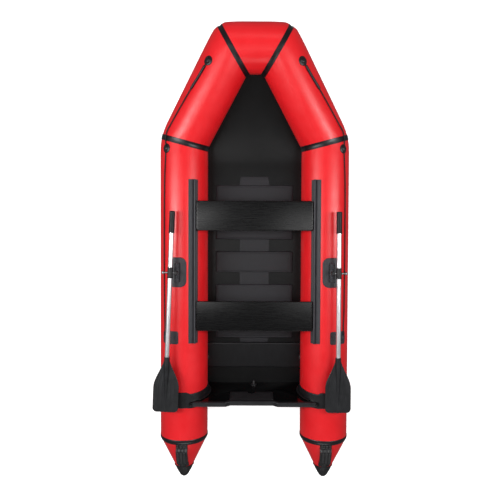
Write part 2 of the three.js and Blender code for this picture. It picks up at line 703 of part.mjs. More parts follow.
function transomTrim() {
  const half = TRANSOM_HALF_WIDTH - TRIM_INSET;
  const outline = polygon([...topEdge(half, TRIM_WALL), ...topEdge(half, -TRIM_DEPTH).reverse()]);
  const slot = polygon([[-half - 1, 0], ...topEdge(half + 1, GAP), [half + 1, 0]]);
  const outside = onPlank(outline, -TRANSOM_THICKNESS - TRIM_WALL, TRIM_WALL);
  const inside = onPlank(slot, -TRANSOM_THICKNESS - GAP, GAP);
  return geometryOf(solid(outside).subtract(solid(inside)));
}

function transomHolder() {
  const outerX = overTube(HOLDER_OUTER_ANGLE);
  const [stripX, patchX] = HOLDER_WAIST_ANGLES.map(overTube);
  const front = HOLDER_AHEAD;
  const back = HOLDER_AHEAD - HOLDER_LENGTH;
  const stripBack = -TRANSOM_THICKNESS - HOLDER_STRIP_BACK;
  const cornerX = outerX - HOLDER_CORNER;
  const footprint = polygon([
    [0, HOLDER_STRIP_FRONT], [stripX, HOLDER_STRIP_FRONT], [patchX, front], [cornerX, front],
    [outerX, front - HOLDER_CORNER], [outerX, back + HOLDER_CORNER], [cornerX, back], [patchX, back],
    [stripX, stripBack], [0, stripBack],
  ]);
  // The footprint lies across the plank and is carried up its slope, so it follows the rake.
  const blank = (shape) => {
    const origin = plank.foot.clone().addScaledVector(plank.up, -TUBE_RADIUS);
    const depthAxis = plank.normal.clone();
    return place(extrude(shape, 4 * TUBE_RADIUS), origin, plank.across, depthAxis, plank.up);
  };
  const longFrom = TRANSOM_FOOT_Y - 3 * HOLDER_LENGTH;
  const longTo = TRANSOM_FOOT_Y + 2 * HOLDER_LENGTH;
  const band = ringSector(SKIN, SKIN + HOLDER_THICKNESS, HOLDER_INNER_ANGLE, HOLDER_OUTER_ANGLE);
  const lip = ringSector(SKIN + 1, SKIN + HOLDER_THICKNESS + LIP_HEIGHT, LIP_BOTTOM_ANGLE, LIP_TOP_ANGLE);
  const strip = solid(alongY(band, longFrom, longTo, 14)).intersect(solid(blank(footprint)));
  const near = roundedRectangle(0, outerX, GAP, GAP + LIP_THICKNESS, 1);
  const backDepth = -TRANSOM_THICKNESS - GAP;
  const far = roundedRectangle(0, outerX, backDepth - LIP_THICKNESS, backDepth, 1);
  const ridge = solid(alongY(lip, longFrom, longTo, 8));
  const lips = [near, far].map((shape) => ridge.intersect(solid(blank(shape))));
  return geometryOf(strip.add(lips[0]).add(lips[1]));
}

function motorPlate() {
  const port = NOTCH_SHIFT - MOTOR_PLATE_WIDTH / 2;
  const starboard = NOTCH_SHIFT + MOTOR_PLATE_WIDTH / 2;
  const top = TRANSOM_HEIGHT - NOTCH_DEPTH - MOTOR_PLATE_DROP;
  const foot = top - MOTOR_PLATE_HEIGHT;
  const outline = roundedRectangle(port, starboard, foot, top, MOTOR_PLATE_CORNER);
  const notch = new THREE.Shape();
  notch.absarc(NOTCH_SHIFT, foot, PLATE_HOLE_RADIUS, 0, Math.PI * 2);
  const plate = solid(onPlank(outline, GAP, GAP + MOTOR_PLATE_THICKNESS, 2));
  return geometryOf(plate.subtract(solid(onPlank(notch, 0, 2 * MOTOR_PLATE_THICKNESS, 12))));
}

function drainPlug() {
  const origin = plank.foot.clone().addScaledVector(plank.up, DRAIN_HEIGHT);
  const tail = -TRANSOM_THICKNESS - DRAIN_TAIL;
  const face = GAP + DRAIN_HEAD_THICKNESS;
  const profile = [
    [0, tail], [DRAIN_SHANK_RADIUS - 2, tail], [DRAIN_SHANK_RADIUS, tail + 4], [DRAIN_SHANK_RADIUS, GAP],
    [DRAIN_HEAD_RADIUS, GAP], [DRAIN_HEAD_RADIUS, face], [DRAIN_GRIP_RADIUS, face],
    [DRAIN_GRIP_RADIUS, face + DRAIN_GRIP_LENGTH - 2], [0, face + DRAIN_GRIP_LENGTH],
  ];
  return turned(profile, 18, origin, plank.normal);
}

addPiece('transom_board', transomBoard(), BLACK_BOARD);
addPiece('transom_trim', transomTrim(), TRIM);
addPair('transom_holder', transomHolder(), RUBBER);
addPiece('motor_plate', motorPlate(), PLASTIC);
addPiece('drain_plug', drainPlug(), RUBBER);

// ---------------------------------------------------------------- seats and rails

function seatRail() {
  const from = RAIL_ANGLE - RAIL_HALF_ANGLE;
  const to = RAIL_ANGLE + RAIL_HALF_ANGLE;
  const pad = solid(alongY(ringSector(SKIN, SKIN + RAIL_THICKNESS, from, to), RAIL_BACK_Y, RAIL_FRONT_Y, 3));
  const offset = TUBE_SPACING - RAIL_WEB_X;
  const footZ = TUBE_Z + Math.sqrt((SKIN + RAIL_THICKNESS / 2) ** 2 - offset ** 2);
  const half = RAIL_WEB_THICKNESS / 2;
  const web = polygon([
    [RAIL_WEB_X - half, footZ - 1], [RAIL_WEB_X + half, footZ + 2],
    [RAIL_WEB_X + half, RAIL_BEAD_Z], [RAIL_WEB_X - half, RAIL_BEAD_Z],
  ]);
  const bead = new THREE.Shape();
  bead.absarc(RAIL_WEB_X, RAIL_BEAD_Z, RAIL_BEAD_RADIUS, 0, Math.PI * 2);
  const keyed = pad.add(solid(alongY(web, RAIL_BACK_Y, RAIL_FRONT_Y)));
  return geometryOf(keyed.add(solid(alongY(bead, RAIL_BACK_Y, RAIL_FRONT_Y, 5))));
}

function seat(y) {
  const half = SEAT_WIDTH / 2;
  const front = y + SEAT_LENGTH / 2;
  const back = y - SEAT_LENGTH / 2;
  const bottom = SEAT_TOP - SEAT_THICKNESS;
  const plan = roundedRectangle(-half, half, back, front, SEAT_CORNER);
  let board = solid(upright(plan, bottom, SEAT_TOP, 3));
  const tongueTop = bottom - SEAT_TONGUE_DROP;
  const tongueTip = RAIL_WEB_X - RAIL_WEB_THICKNESS / 2 - RUNNING_GAP;
  const root = tongueTip - SEAT_TONGUE_WIDTH;
  const hook = polygon([
    [root, bottom + 1], [root, tongueTop - SEAT_TONGUE_THICKNESS],
    [tongueTip, tongueTop - SEAT_TONGUE_THICKNESS], [tongueTip, tongueTop],
    [root + SEAT_TONGUE_THICKNESS, tongueTop], [root + SEAT_TONGUE_THICKNESS, bottom + 1],
  ]);
  const tongue = alongY(hook, back + SEAT_CORNER, front - SEAT_CORNER);
  for (const side of Object.keys(SIDES)) board = board.add(solid(forSide(tongue, side)));
  return geometryOf(board);
}

addPair('seat_rail', seatRail(), RUBBER);
addPiece('front_seat', seat(RAIL_FRONT_Y - FRONT_SEAT_INSET), SEAT_BOARD);
addPiece('rear_seat', seat(RAIL_BACK_Y + REAR_SEAT_INSET), SEAT_BOARD);

// ---------------------------------------------------------------- rowlocks

function padOnTube(fromX, toX, fromY, toY, corner, thickness) {
  const plan = roundedRectangle(fromX, toX, fromY, toY, corner);
  const column = solid(upright(plan, TUBE_Z, TUBE_Z + 2 * TUBE_RADIUS, 3));
  const arc = ringSector(SKIN, SKIN + thickness, -60, 75);
  return solid(alongY(arc, fromY - 1, toY + 1, 12)).intersect(column);
}

function rowlockBase() {
  const half = ROWLOCK_PAD_LENGTH / 2;
  const pad = padOnTube(
    ...ROWLOCK_PAD_ANGLES.map(overTube), ROWLOCK_Y - half, ROWLOCK_Y + half,
    ROWLOCK_PAD_CORNER, ROWLOCK_PAD_THICKNESS,
  );
  const wide = HOUSING_WIDTH / 2;
  const long = HOUSING_LENGTH / 2;
  const farSide = ROWLOCK_X - TUBE_SPACING + wide;
  const footZ = TUBE_Z + Math.sqrt((SKIN + 1) ** 2 - farSide ** 2);
  const nearZ = TUBE_Z + Math.sqrt((SKIN + 1) ** 2 - (farSide - HOUSING_WIDTH) ** 2);
  const [left, right, top] = [ROWLOCK_X - wide, ROWLOCK_X + wide, HOUSING_TOP];
  const section = polygon([[left, nearZ], [right, footZ], [right, top - 5], [right - 5, top],
    [left + 5, top], [left, top - 5]]);
  const block = solid(alongY(section, ROWLOCK_Y - long, ROWLOCK_Y + long));
  const bore = rod(
    POST_RADIUS + RUNNING_GAP, vector(ROWLOCK_X, ROWLOCK_Y, HOUSING_TOP - POST_DEPTH),
    vector(ROWLOCK_X, ROWLOCK_Y, HOUSING_TOP + 1), 16,
  );
  return geometryOf(pad.add(block).subtract(solid(bore)));
}

addPair('rowlock_base', rowlockBase(), RUBBER);

// ---------------------------------------------------------------- swivels and oars

// Drawn round the swivel's axis, with the oar lying fore and aft on its outboard side.
function rowlockSwivel() {
  const bottom = HOUSING_TOP - POST_DEPTH + RUNNING_GAP;
  const shelf = HOUSING_TOP + GAP;
  const post = turned([[0, bottom], [POST_RADIUS, bottom], [POST_RADIUS, shelf], [BOSS_RADIUS, shelf],
    [BOSS_RADIUS, shelf + BOSS_HEIGHT - 3], [BOSS_RADIUS - 3, shelf + BOSS_HEIGHT],
    [0, shelf + BOSS_HEIGHT]], 16, vector(0, 0, 0), vector(0, 0, 1));
  const pin = rod(PIN_RADIUS, vector(0, 0, PIN_HEIGHT), vector(PIN_LENGTH, 0, PIN_HEIGHT), 12);
  const nut = rod(
    NUT_RADIUS, vector(PIN_LENGTH - NUT_LENGTH - 3, 0, PIN_HEIGHT),
    vector(PIN_LENGTH - 3, 0, PIN_HEIGHT), 6,
  );
  return geometryOf(solid(post).add(solid(pin)).add(solid(nut)));
}

// A ring or cup round the oar's axis: [radius, distance forward of the pin] pairs.
function onOar(profile, sides = 16) {
  return turned(profile, sides, vector(OAR_OFFSET, 0, PIN_HEIGHT), vector(0, 1, 0));
}

function pinHole() {
  const reach = OAR_OFFSET + 2 * SHAFT_RADIUS;
  const from = vector(OAR_OFFSET - 2 * SHAFT_RADIUS, 0, PIN_HEIGHT);
  return solid(rod(PIN_RADIUS + RUNNING_GAP, from, vector(reach, 0, PIN_HEIGHT), 12));
}

function oarShaft() {
  const front = GRIP_FRONT - GRIP_END - GAP;
  const back = -BLADE_SOCKET_START - BLADE_SOCKET_DEPTH;
  const inner = SHAFT_RADIUS - SHAFT_WALL;
  const pipeProfile = [
    [inner, back], [SHAFT_RADIUS, back], [SHAFT_RADIUS, front], [inner, front], [inner, back],
  ];
  return geometryOf(solid(onOar(pipeProfile)).subtract(pinHole()));
}

function oarCollar() {
  const inner = SHAFT_RADIUS + GAP;
  const outer = inner + SLEEVE_WALL;
  const half = COLLAR_LENGTH / 2;
  const sleeve = onOar([[inner, -half], [outer, -half], [outer, half], [inner, half], [inner, -half]]);
  return geometryOf(solid(sleeve).subtract(pinHole()));
}

function oarGrip() {
  const inner = SHAFT_RADIUS + GAP;
  const outer = inner + SLEEVE_WALL;
  const back = GRIP_FRONT - GRIP_LENGTH;
  const floor = GRIP_FRONT - GRIP_END;
  const profile = [[0, floor], [inner, floor], [inner, back], [outer + 2, back], [outer + 2, back + 6],
    [outer, back + 8]];
  profile.push([outer, GRIP_FRONT - 6], [outer - 5, GRIP_FRONT], [0, GRIP_FRONT]);
  return onOar(profile);
}

function bladeOutline() {
  const neck = SHAFT_RADIUS;
  const start = -BLADE_SOCKET_START - BLADE_SOCKET_DEPTH / 3;
  const wide = BLADE_HALF_WIDTH;
  const corner = BLADE_CORNER;
  const outline = new THREE.Shape();
  outline.moveTo(neck, start);
  outline.bezierCurveTo(neck + 8, start - 60, wide, start - 90, wide, -BLADE_SHOULDER_END);
  outline.lineTo(wide, -BLADE_END + corner);
  outline.absarc(wide - corner, -BLADE_END + corner, corner, 0, -Math.PI / 2, true);
  outline.lineTo(-wide + corner, -BLADE_END);
  outline.absarc(-wide + corner, -BLADE_END + corner, corner, -Math.PI / 2, -Math.PI, true);
  outline.lineTo(-wide, -BLADE_SHOULDER_END);
  outline.bezierCurveTo(-wide, start - 90, -neck - 8, start - 60, -neck, start);
  return outline;
}

function oarBlade() {
  const inner = SHAFT_RADIUS + GAP;
  const outer = inner + SLEEVE_WALL;
  const mouth = -BLADE_SOCKET_START;
  const floor = mouth - BLADE_SOCKET_DEPTH - GAP;
  const tip = -BLADE_END + 60;
  const socket = onOar([[0, floor], [inner, floor], [inner, mouth], [outer, mouth], [outer, floor],
    [BLADE_THICKNESS / 2 + BLADE_SPINE_HEIGHT, tip], [0, tip]]);
  const half = BLADE_THICKNESS / 2;
  const flat = extrude(bladeOutline(), BLADE_THICKNESS, 6);
  flat.translate(OAR_OFFSET, 0, PIN_HEIGHT - half);
  const room = [[0, floor], [inner, floor], [inner, mouth + 1], [0, mouth + 1]];
  return geometryOf(solid(flat).add(solid(socket)).subtract(solid(onOar(room))));
}

for (const [side, sign] of Object.entries(SIDES)) {
  const swung = new THREE.Group();
  swung.position.set(sign * ROWLOCK_X, ROWLOCK_Y, 0);
  swung.rotation.z = degrees(sign * OAR_YAW[side]);
  group.add(swung);
  const parts = [
    ['rowlock_swivel', rowlockSwivel(), STEEL],
    ['oar_collar', oarCollar(), PLASTIC],
    ['oar_shaft', oarShaft(), ALUMINIUM],
    ['oar_grip', oarGrip(), RUBBER],
    ['oar_blade', oarBlade(), PLASTIC],
  ];
  for (const [name, shape, look] of parts) addPiece(`${side}_${name}`, forSide(shape, side), look, swung);
}

// ---------------------------------------------------------------- lifelines

// A rubber eye glued on a tube, with a hole along the tube for the rope.
function ropeEye(centre, normal, along) {
  const sink = 8;
  const profile = [[0, -sink], [EYE_RADIUS, -sink], [EYE_RADIUS, 1.5], [EYE_RADIUS - 9, 5],
    [EYE_RADIUS - 15, EYE_HEIGHT - 2], [EYE_RADIUS - 21, EYE_HEIGHT], [0, EYE_HEIGHT]];
  const foot = centre.clone().addScaledVector(normal, TUBE_RADIUS);
  const dome = solid(turned(profile, 18, foot, normal));
  const reach = 3 * EYE_RADIUS;
  const ends = [-reach, reach].map((s) => centre.clone().addScaledVector(along, s));
  const room = solid(rod(SKIN / Math.cos(Math.PI / 48), ends[0], ends[1], 48));
  const holeEnds = ends.map((p) => p.addScaledVector(normal, TUBE_RADIUS + ROPE_LIFT));
  const hole = solid(rod(ROPE_RADIUS + EYE_HOLE_GAP, holeEnds[0], holeEnds[1], 12));
  return geometryOf(dome.subtract(room).subtract(hole));
}

function quarterEye() {
  const centre = SHOULDER.clone().lerp(BOW_CORNER, BOW_EYE.along);
  const level = vector(quarterFrame.along.y, -quarterFrame.along.x, 0).normalize();
  const upward = level.clone().cross(quarterFrame.along).normalize();
  const tilt = degrees(BOW_EYE.angle);
  const normal = upward.multiplyScalar(Math.cos(tilt)).addScaledVector(level, Math.sin(tilt));
  return ropeEye(centre, normal, quarterFrame.along);
}

function sideEye() {
  const tilt = degrees(SIDE_EYE.angle);
  const centre = vector(TUBE_SPACING, SHOULDER_Y - SIDE_EYE.aft, TUBE_Z);
  return ropeEye(centre, vector(Math.sin(tilt), 0, Math.cos(tilt)), sideFrame.along);
}

// The after patch: a knob by its inboard edge and an eye that ends the rope.
function ropePatch() {
  const at = (angle, radius) => vector(
    TUBE_SPACING + radius * Math.sin(degrees(angle)), PATCH_Y, TUBE_Z + radius * Math.cos(degrees(angle)),
  );
  const half = PATCH_LENGTH / 2;
  const fromX = at(PATCH_INNER_ANGLE, SKIN).x;
  const toX = at(PATCH_OUTER_ANGLE + 6, SKIN).x;
  const pad = padOnTube(fromX, toX, PATCH_Y - half, PATCH_Y + half, 14, PATCH_THICKNESS);
  const knob = rod(PATCH_KNOB_RADIUS, at(PATCH_KNOB_ANGLE, SKIN + 2),
    at(PATCH_KNOB_ANGLE, SKIN + PATCH_KNOB_HEIGHT), 16);
  const wide = (PATCH_EYE_WIDTH / 2 / SKIN) * (180 / Math.PI);
  const arc = ringSector(SKIN + 1, SKIN + PATCH_EYE_HEIGHT, PATCH_EYE_ANGLE - wide, PATCH_EYE_ANGLE + wide);
  const eye = alongY(arc, PATCH_Y - PATCH_EYE_LENGTH / 2, PATCH_Y + PATCH_EYE_LENGTH / 2, 2);
  return geometryOf(pad.add(solid(knob)).add(solid(eye)));
}

function lifeline() {
  const route = new THREE.CatmullRomCurve3(LIFELINE_ROUTE.map((p) => vector(...p)), false, 'centripetal');
  const section = new THREE.Shape();
  section.absarc(0, 0, ROPE_RADIUS, 0, Math.PI * 2);
  return closed(new THREE.ExtrudeGeometry(section, {
    steps: ROPE_STEPS, extrudePath: route, curveSegments: ROPE_SIDES / 2, bevelEnabled: false,
  }));
}

addPair('bow_rope_eye', quarterEye(), RUBBER);
addPair('side_rope_eye', sideEye(), RUBBER);
addPair('rope_patch', ropePatch(), RUBBER);
addPair('lifeline', lifeline(), ROPE);

// ---------------------------------------------------------------- valves

function onValve(profile, sides = 14) {
  return turned(profile, sides, valveFoot, valveNormal);
}

function valveBody() {
  const top = VALVE_FLANGE_THICKNESS;
  const bottom = top - VALVE_BARREL_DEPTH;
  const ledge = bottom + VALVE_SEAT_THICKNESS;
  const sink = 6;
  const disc = onValve([[0, -sink], [VALVE_FLANGE_RADIUS, -sink], [VALVE_FLANGE_RADIUS, top - 1],
    [VALVE_FLANGE_RADIUS - 2, top], [0, top]]);
  const flange = solid(disc).subtract(solid(tubeCutter(SKIN)));
  const barrel = onValve([[0, bottom], [VALVE_BARREL_RADIUS, bottom], [VALVE_BARREL_RADIUS, top - 1],
    [0, top - 1]]);
  const bore = onValve([[0, ledge], [VALVE_BORE_RADIUS, ledge], [VALVE_BORE_RADIUS, top + 1], [0, top + 1]]);
  const seatHole = onValve([[0, bottom - 1], [VALVE_SEAT_RADIUS, bottom - 1],
    [VALVE_SEAT_RADIUS, ledge + 1], [0, ledge + 1]]);
  return geometryOf(flange.add(solid(barrel)).subtract(solid(bore)).subtract(solid(seatHole)));
}

function valveStem() {
  const top = VALVE_FLANGE_THICKNESS - STEM_HEAD_DEPTH;
  const seatBottom = VALVE_FLANGE_THICKNESS - VALVE_BARREL_DEPTH - GAP;
  return onValve([[0, seatBottom - POPPET_THICKNESS], [POPPET_RADIUS, seatBottom - POPPET_THICKNESS],
    [POPPET_RADIUS, seatBottom], [STEM_RADIUS, seatBottom], [STEM_RADIUS, top - STEM_HEAD_THICKNESS],
    [STEM_HEAD_RADIUS, top - STEM_HEAD_THICKNESS], [STEM_HEAD_RADIUS, top], [0, top]]);
}

function valveCap() {
  const bottom = VALVE_FLANGE_THICKNESS + GAP;
  const plugRadius = VALVE_BORE_RADIUS - RUNNING_GAP;
  return onValve([[0, bottom - VALVE_PLUG_DEPTH], [plugRadius, bottom - VALVE_PLUG_DEPTH],
    [plugRadius, bottom], [VALVE_CAP_RADIUS, bottom], [VALVE_CAP_RADIUS, bottom + VALVE_CAP_THICKNESS - 2],
    [VALVE_CAP_RADIUS - 2, bottom + VALVE_CAP_THICKNESS], [0, bottom + VALVE_CAP_THICKNESS]]);
}

addPair('valve_body', valveBody(), PLASTIC);
addPair('valve_stem', valveStem(), PLASTIC);
addPair('valve_cap', valveCap(), PLASTIC);

export default group;
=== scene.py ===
"""Looks of the inflatable dinghy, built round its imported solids.

Metres, in the solids' frame: +X starboard, +Y towards the bow, +Z up, origin on the ground amidships.
Paired pieces are worked out for the starboard side and mirrored for port.
"""

import math

import bmesh
import bpy
import numpy as np
from mathutils import Matrix, Vector


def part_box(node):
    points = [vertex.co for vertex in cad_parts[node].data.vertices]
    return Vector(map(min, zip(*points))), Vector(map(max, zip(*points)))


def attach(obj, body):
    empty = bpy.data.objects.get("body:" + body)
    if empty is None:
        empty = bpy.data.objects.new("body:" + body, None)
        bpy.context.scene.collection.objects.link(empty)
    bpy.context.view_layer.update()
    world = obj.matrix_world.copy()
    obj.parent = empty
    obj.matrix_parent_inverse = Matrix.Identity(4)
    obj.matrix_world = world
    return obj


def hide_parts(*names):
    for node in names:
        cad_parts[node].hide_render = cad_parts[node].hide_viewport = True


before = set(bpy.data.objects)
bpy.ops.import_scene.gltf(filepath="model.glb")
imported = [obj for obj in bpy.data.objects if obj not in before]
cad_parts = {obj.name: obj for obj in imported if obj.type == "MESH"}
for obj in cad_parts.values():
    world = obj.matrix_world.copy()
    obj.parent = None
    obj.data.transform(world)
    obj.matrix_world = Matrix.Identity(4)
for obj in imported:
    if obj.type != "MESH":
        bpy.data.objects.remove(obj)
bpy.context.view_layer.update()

MM = 0.001
SIDES = {"starboard": 1, "port": -1}

# ---------------------------------------------------------------- camera

# Nearly straight above the boat's middle, a little to port and towards the bow, and tipped a touch astern.
CAMERA_PLACE = (-0.0284, 0.170, 3.974)
CAMERA_TIP = 0.03
CAMERA_ROLL = 0.004
FOCAL_SHARE = 1.03992  # focal length over the picture's width
SENSOR = 36.0


def make_camera():
    """The line of sight is straight down, tipped by CAMERA_TIP towards the stern; the picture's right and
    up axes are turned by CAMERA_ROLL about it."""
    tip, roll = CAMERA_TIP, CAMERA_ROLL
    look = Vector((0, -math.sin(tip), -math.cos(tip)))
    up = Vector((0, math.cos(tip), -math.sin(tip)))
    right = Vector((1, 0, 0))
    across = right * math.cos(roll) + up * math.sin(roll)
    upward = up * math.cos(roll) - right * math.sin(roll)
    data = bpy.data.cameras.new("camera")
    data.sensor_width = SENSOR
    data.lens = FOCAL_SHARE * SENSOR
    data.clip_end = 50
    camera = bpy.data.objects.new("camera", data)
    turn = Matrix((across, upward, -look)).transposed().to_4x4()
    camera.matrix_world = Matrix.Translation(CAMERA_PLACE) @ turn
    bpy.context.scene.collection.objects.link(camera)
    bpy.context.scene.camera = camera


make_camera()

# ---------------------------------------------------------------- sizes, as the solids have them

SOLID_SIDES = 40  # facets round a tube's solid


def vec(*values):
    """The values as one array."""
    return np.array(values, float)


def mm(*rows):
    """Rows of a profile written in millimetres, as metres."""
    return np.array(rows, float) * MM


def unit(v):
    """The vector at length 1."""
    v = np.asarray(v, float)
    return v / np.linalg.norm(v)


def corners_of(node):
    """The lowest and highest corner of a solid's box."""
    return [np.array(corner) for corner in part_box(node)]


side_low, side_high = corners_of("starboard_side_tube")
bow_low, bow_high = corners_of("bow_tube")
cone_low, cone_high = corners_of("starboard_stern_cone")

TUBE_RADIUS = (side_high[2] - side_low[2]) / 2 / math.cos(math.pi / SOLID_SIDES)
TUBE_WALL = 3 * MM
AXIS_X = (side_low[0] + side_high[0]) / 2
AXIS_Z = (side_low[2] + side_high[2]) / 2
CREST = AXIS_Z + TUBE_RADIUS
SHOULDER_Y = 834 * MM
BOW_Y = (bow_low[1] + bow_high[1]) / 2
BOW_Z = (bow_low[2] + bow_high[2]) / 2
BOW_HALF = 157 * MM
CONE_SEAM_Y = cone_high[1] + 0.25 * MM
CONE_END_Y = cone_low[1]
CONE_END_RADIUS = 61 * MM
SKIN_GAP = 0.5 * MM
ROUND = 160  # points round a tube
STERN = vec(AXIS_X, CONE_SEAM_Y, AXIS_Z)
SHOULDER = vec(AXIS_X, SHOULDER_Y, AXIS_Z)
BOW_CORNER = vec(BOW_HALF, BOW_Y, BOW_Z)
FAR_CORNER = vec(-BOW_HALF, BOW_Y, BOW_Z)


def mirrored(axis, normal):
    """The axis seen in a mirror square to the normal."""
    return axis - 2 * axis.dot(normal) * normal


SHOULDER_CUT = (SHOULDER, unit(unit(SHOULDER - STERN) + unit(BOW_CORNER - SHOULDER)))
BOW_CUT = (BOW_CORNER, unit(unit(BOW_CORNER - SHOULDER) + vec(-1, 0, 0)))
FAR_CUT = (FAR_CORNER, BOW_CUT[1] * vec(1, -1, -1))
STERN_CUT = (STERN, vec(0, 1, 0))
SIDE_AXES = (vec(0, 1, 0), vec(1, 0, 0), vec(0, 0, 1))
QUARTER_AXES = (unit(BOW_CORNER - SHOULDER), *(mirrored(a, SHOULDER_CUT[1]) for a in SIDE_AXES[1:]))
BOW_AXES = (vec(-1, 0, 0), *(mirrored(a, BOW_CUT[1]) for a in QUARTER_AXES[1:]))

# The outside of each bend is blown round: (cut, direction out of the bend, deepest draw-in, reach).
MITRES = (
    (SHOULDER_CUT, unit(SIDE_AXES[0] - QUARTER_AXES[0]), 18 * MM, 120 * MM),
    (BOW_CUT, unit(QUARTER_AXES[0] - BOW_AXES[0]), 23 * MM, 54 * MM),
    (BOW_CUT, unit(QUARTER_AXES[0] - BOW_AXES[0]), 9 * MM, 170 * MM),
)


def softened(points):
    """Rounds the outer side of the bends: a point moves into the bend by depth (1 - d/reach)^2 o, where d is
    its distance from the mitre's plane and o, from 0 to 1, how far out of the bend it lies."""
    for (place, normal), outward, depth, reach in MITRES:
        away = np.abs((points - place) @ normal)
        out = np.clip((points - place) @ outward / TUBE_RADIUS, 0, 1.1)
        points = points - (depth * np.clip(1 - away / reach, 0, 1) ** 2 * out)[..., None] * outward
    return points


# ---------------------------------------------------------------- colour and node helpers


def linear(colour):
    """An sRGB hex colour as the linear RGBA of a socket."""
    s = np.array([int(colour[i:i + 2], 16) for i in (1, 3, 5)]) / 255
    flat = np.where(s <= 0.04045, s / 12.92, ((s + 0.055) / 1.055) ** 2.4)
    return (*(float(v) for v in flat), 1.0)


def add(tree, kind, inputs=None, ramp=None, **settings):
    """One node: its settings, then its inputs, each a value or the socket that feeds it. ramp is a colour
    ramp's stops."""
    node = tree.nodes.new("ShaderNode" + kind)
    for name, value in settings.items():
        setattr(node, name, value)
    for name, value in (inputs or {}).items():
        if isinstance(value, bpy.types.NodeSocket):
            tree.links.new(value, node.inputs[name])
        else:
            node.inputs[name].default_value = value
    if ramp:
        stops = node.color_ramp.elements
        while len(stops) < len(ramp):
            stops.new(1.0)
        for stop, (place, colour) in zip(stops, ramp):
            stop.position = place
            stop.color = linear(colour)
    return node


def new_material(name, roughness, ior=1.5, metallic=0.0, **more):
    """A material with its Principled shader, whose constants go straight on its own sockets."""
    made = bpy.data.materials.new(name)
    made.use_nodes = True
    tree = made.node_tree
    shader = tree.nodes["Principled BSDF"]
    shader.inputs["Roughness"].default_value = roughness
    shader.inputs["IOR"].default_value = ior
    shader.inputs["Metallic"].default_value = metallic
    for label, value in more.items():
        shader.inputs[label.replace("_", " ")].default_value = value
    return made, tree, shader


def finish_with(tree, shader, colour, height=None, depth=0.0, rough=None):
    """Feeds the shader its colour and roughness patterns, and a bump of that depth in metres."""
    tree.links.new(colour, shader.inputs["Base Color"])
    if rough is not None:
        tree.links.new(rough, shader.inputs["Roughness"])
    if height is not None:
        bump = add(tree, "Bump", {"Height": height, "Distance": depth, "Strength": 1.0})
        tree.links.new(bump.outputs["Normal"], shader.inputs["Normal"])


def roughness_from(tree, pattern, roughness, spread):
    """A roughness that follows a pattern, from spread below to spread above its middle value."""
    node = add(tree, "MapRange", {"Value": pattern, "From Min": 0.3, "From Max": 0.7,
                                  "To Min": roughness - spread, "To Max": roughness + spread})
    return node.outputs["Result"]


def coated_fabric(name, low, high, roughness, weave, depth, spread=0.05, ior=1.52):
    """PVC-coated polyester: a smooth plastic face through which the square weave of the base cloth just
    shows, with the colour a little uneven. weave is the pitch of the threads that is drawn, in metres."""
    made, tree, shader = new_material(name, roughness, ior)
    uv = add(tree, "UVMap", uv_map="UVMap").outputs["UV"]
    across = add(tree, "TexWave", {"Vector": uv, "Scale": math.pi / (10 * weave)}, bands_direction="X")
    along = add(tree, "TexWave", {"Vector": uv, "Scale": math.pi / (10 * weave)}, bands_direction="Y")
    cloth = add(tree, "Math", {0: across.outputs["Fac"], 1: along.outputs["Fac"]}, operation="MULTIPLY")
    place = add(tree, "TexCoord").outputs["Object"]
    clouds = add(tree, "TexNoise", {"Vector": place, "Scale": 7.0, "Detail": 3.0}).outputs["Fac"]
    colour = add(tree, "ValToRGB", {"Fac": clouds}, ramp=[(0.3, low), (0.7, high)])
    dull = add(tree, "TexNoise", {"Vector": place, "Scale": 16.0, "Detail": 4.0}).outputs["Fac"]
    rough = roughness_from(tree, dull, roughness, spread)
    finish_with(tree, shader, colour.outputs["Color"], cloth.outputs[0], depth, rough)
    return made


def stippled(name, low, high, roughness, grain, depth, ior=1.5, spread=0.05, **more):
    """A moulded surface: the colour is nearly even, with the fine stipple of the mould. grain is the size
    of a grain in metres."""
    made, tree, shader = new_material(name, roughness, ior, **more)
    place = add(tree, "TexCoord").outputs["Object"]
    clouds = add(tree, "TexNoise", {"Vector": place, "Scale": 22.0, "Detail": 4.0}).outputs["Fac"]
    colour = add(tree, "ValToRGB", {"Fac": clouds}, ramp=[(0.3, low), (0.7, high)])
    stipple = add(tree, "TexNoise", {"Vector": place, "Scale": 1 / (2 * grain), "Detail": 2.0}).outputs["Fac"]
    rough = roughness_from(tree, clouds, roughness, spread)
    finish_with(tree, shader, colour.outputs["Color"], stipple, depth, rough)
    return made


def grained(name, low, high, roughness, depth, stretch, size, ior=1.5, metallic=0.0, spread=0.05, **more):
    """A surface with lines along one way, such as drawn metal or veneer under lacquer: noise squeezed by
    stretch along each axis. size is the width of a line in metres."""
    made, tree, shader = new_material(name, roughness, ior, metallic, **more)
    place = add(tree, "TexCoord").outputs["Object"]
    pulled = add(tree, "Mapping", {"Vector": place, "Scale": stretch}).outputs["Vector"]
    lines = add(tree, "TexNoise", {"Vector": pulled, "Scale": 1 / (2 * size), "Detail": 4.0}).outputs["Fac"]
    colour = add(tree, "ValToRGB", {"Fac": lines}, ramp=[(0.3, low), (0.7, high)])
    rough = roughness_from(tree, lines, roughness, spread)
    finish_with(tree, shader, colour.outputs["Color"], lines, depth, rough)
    return made


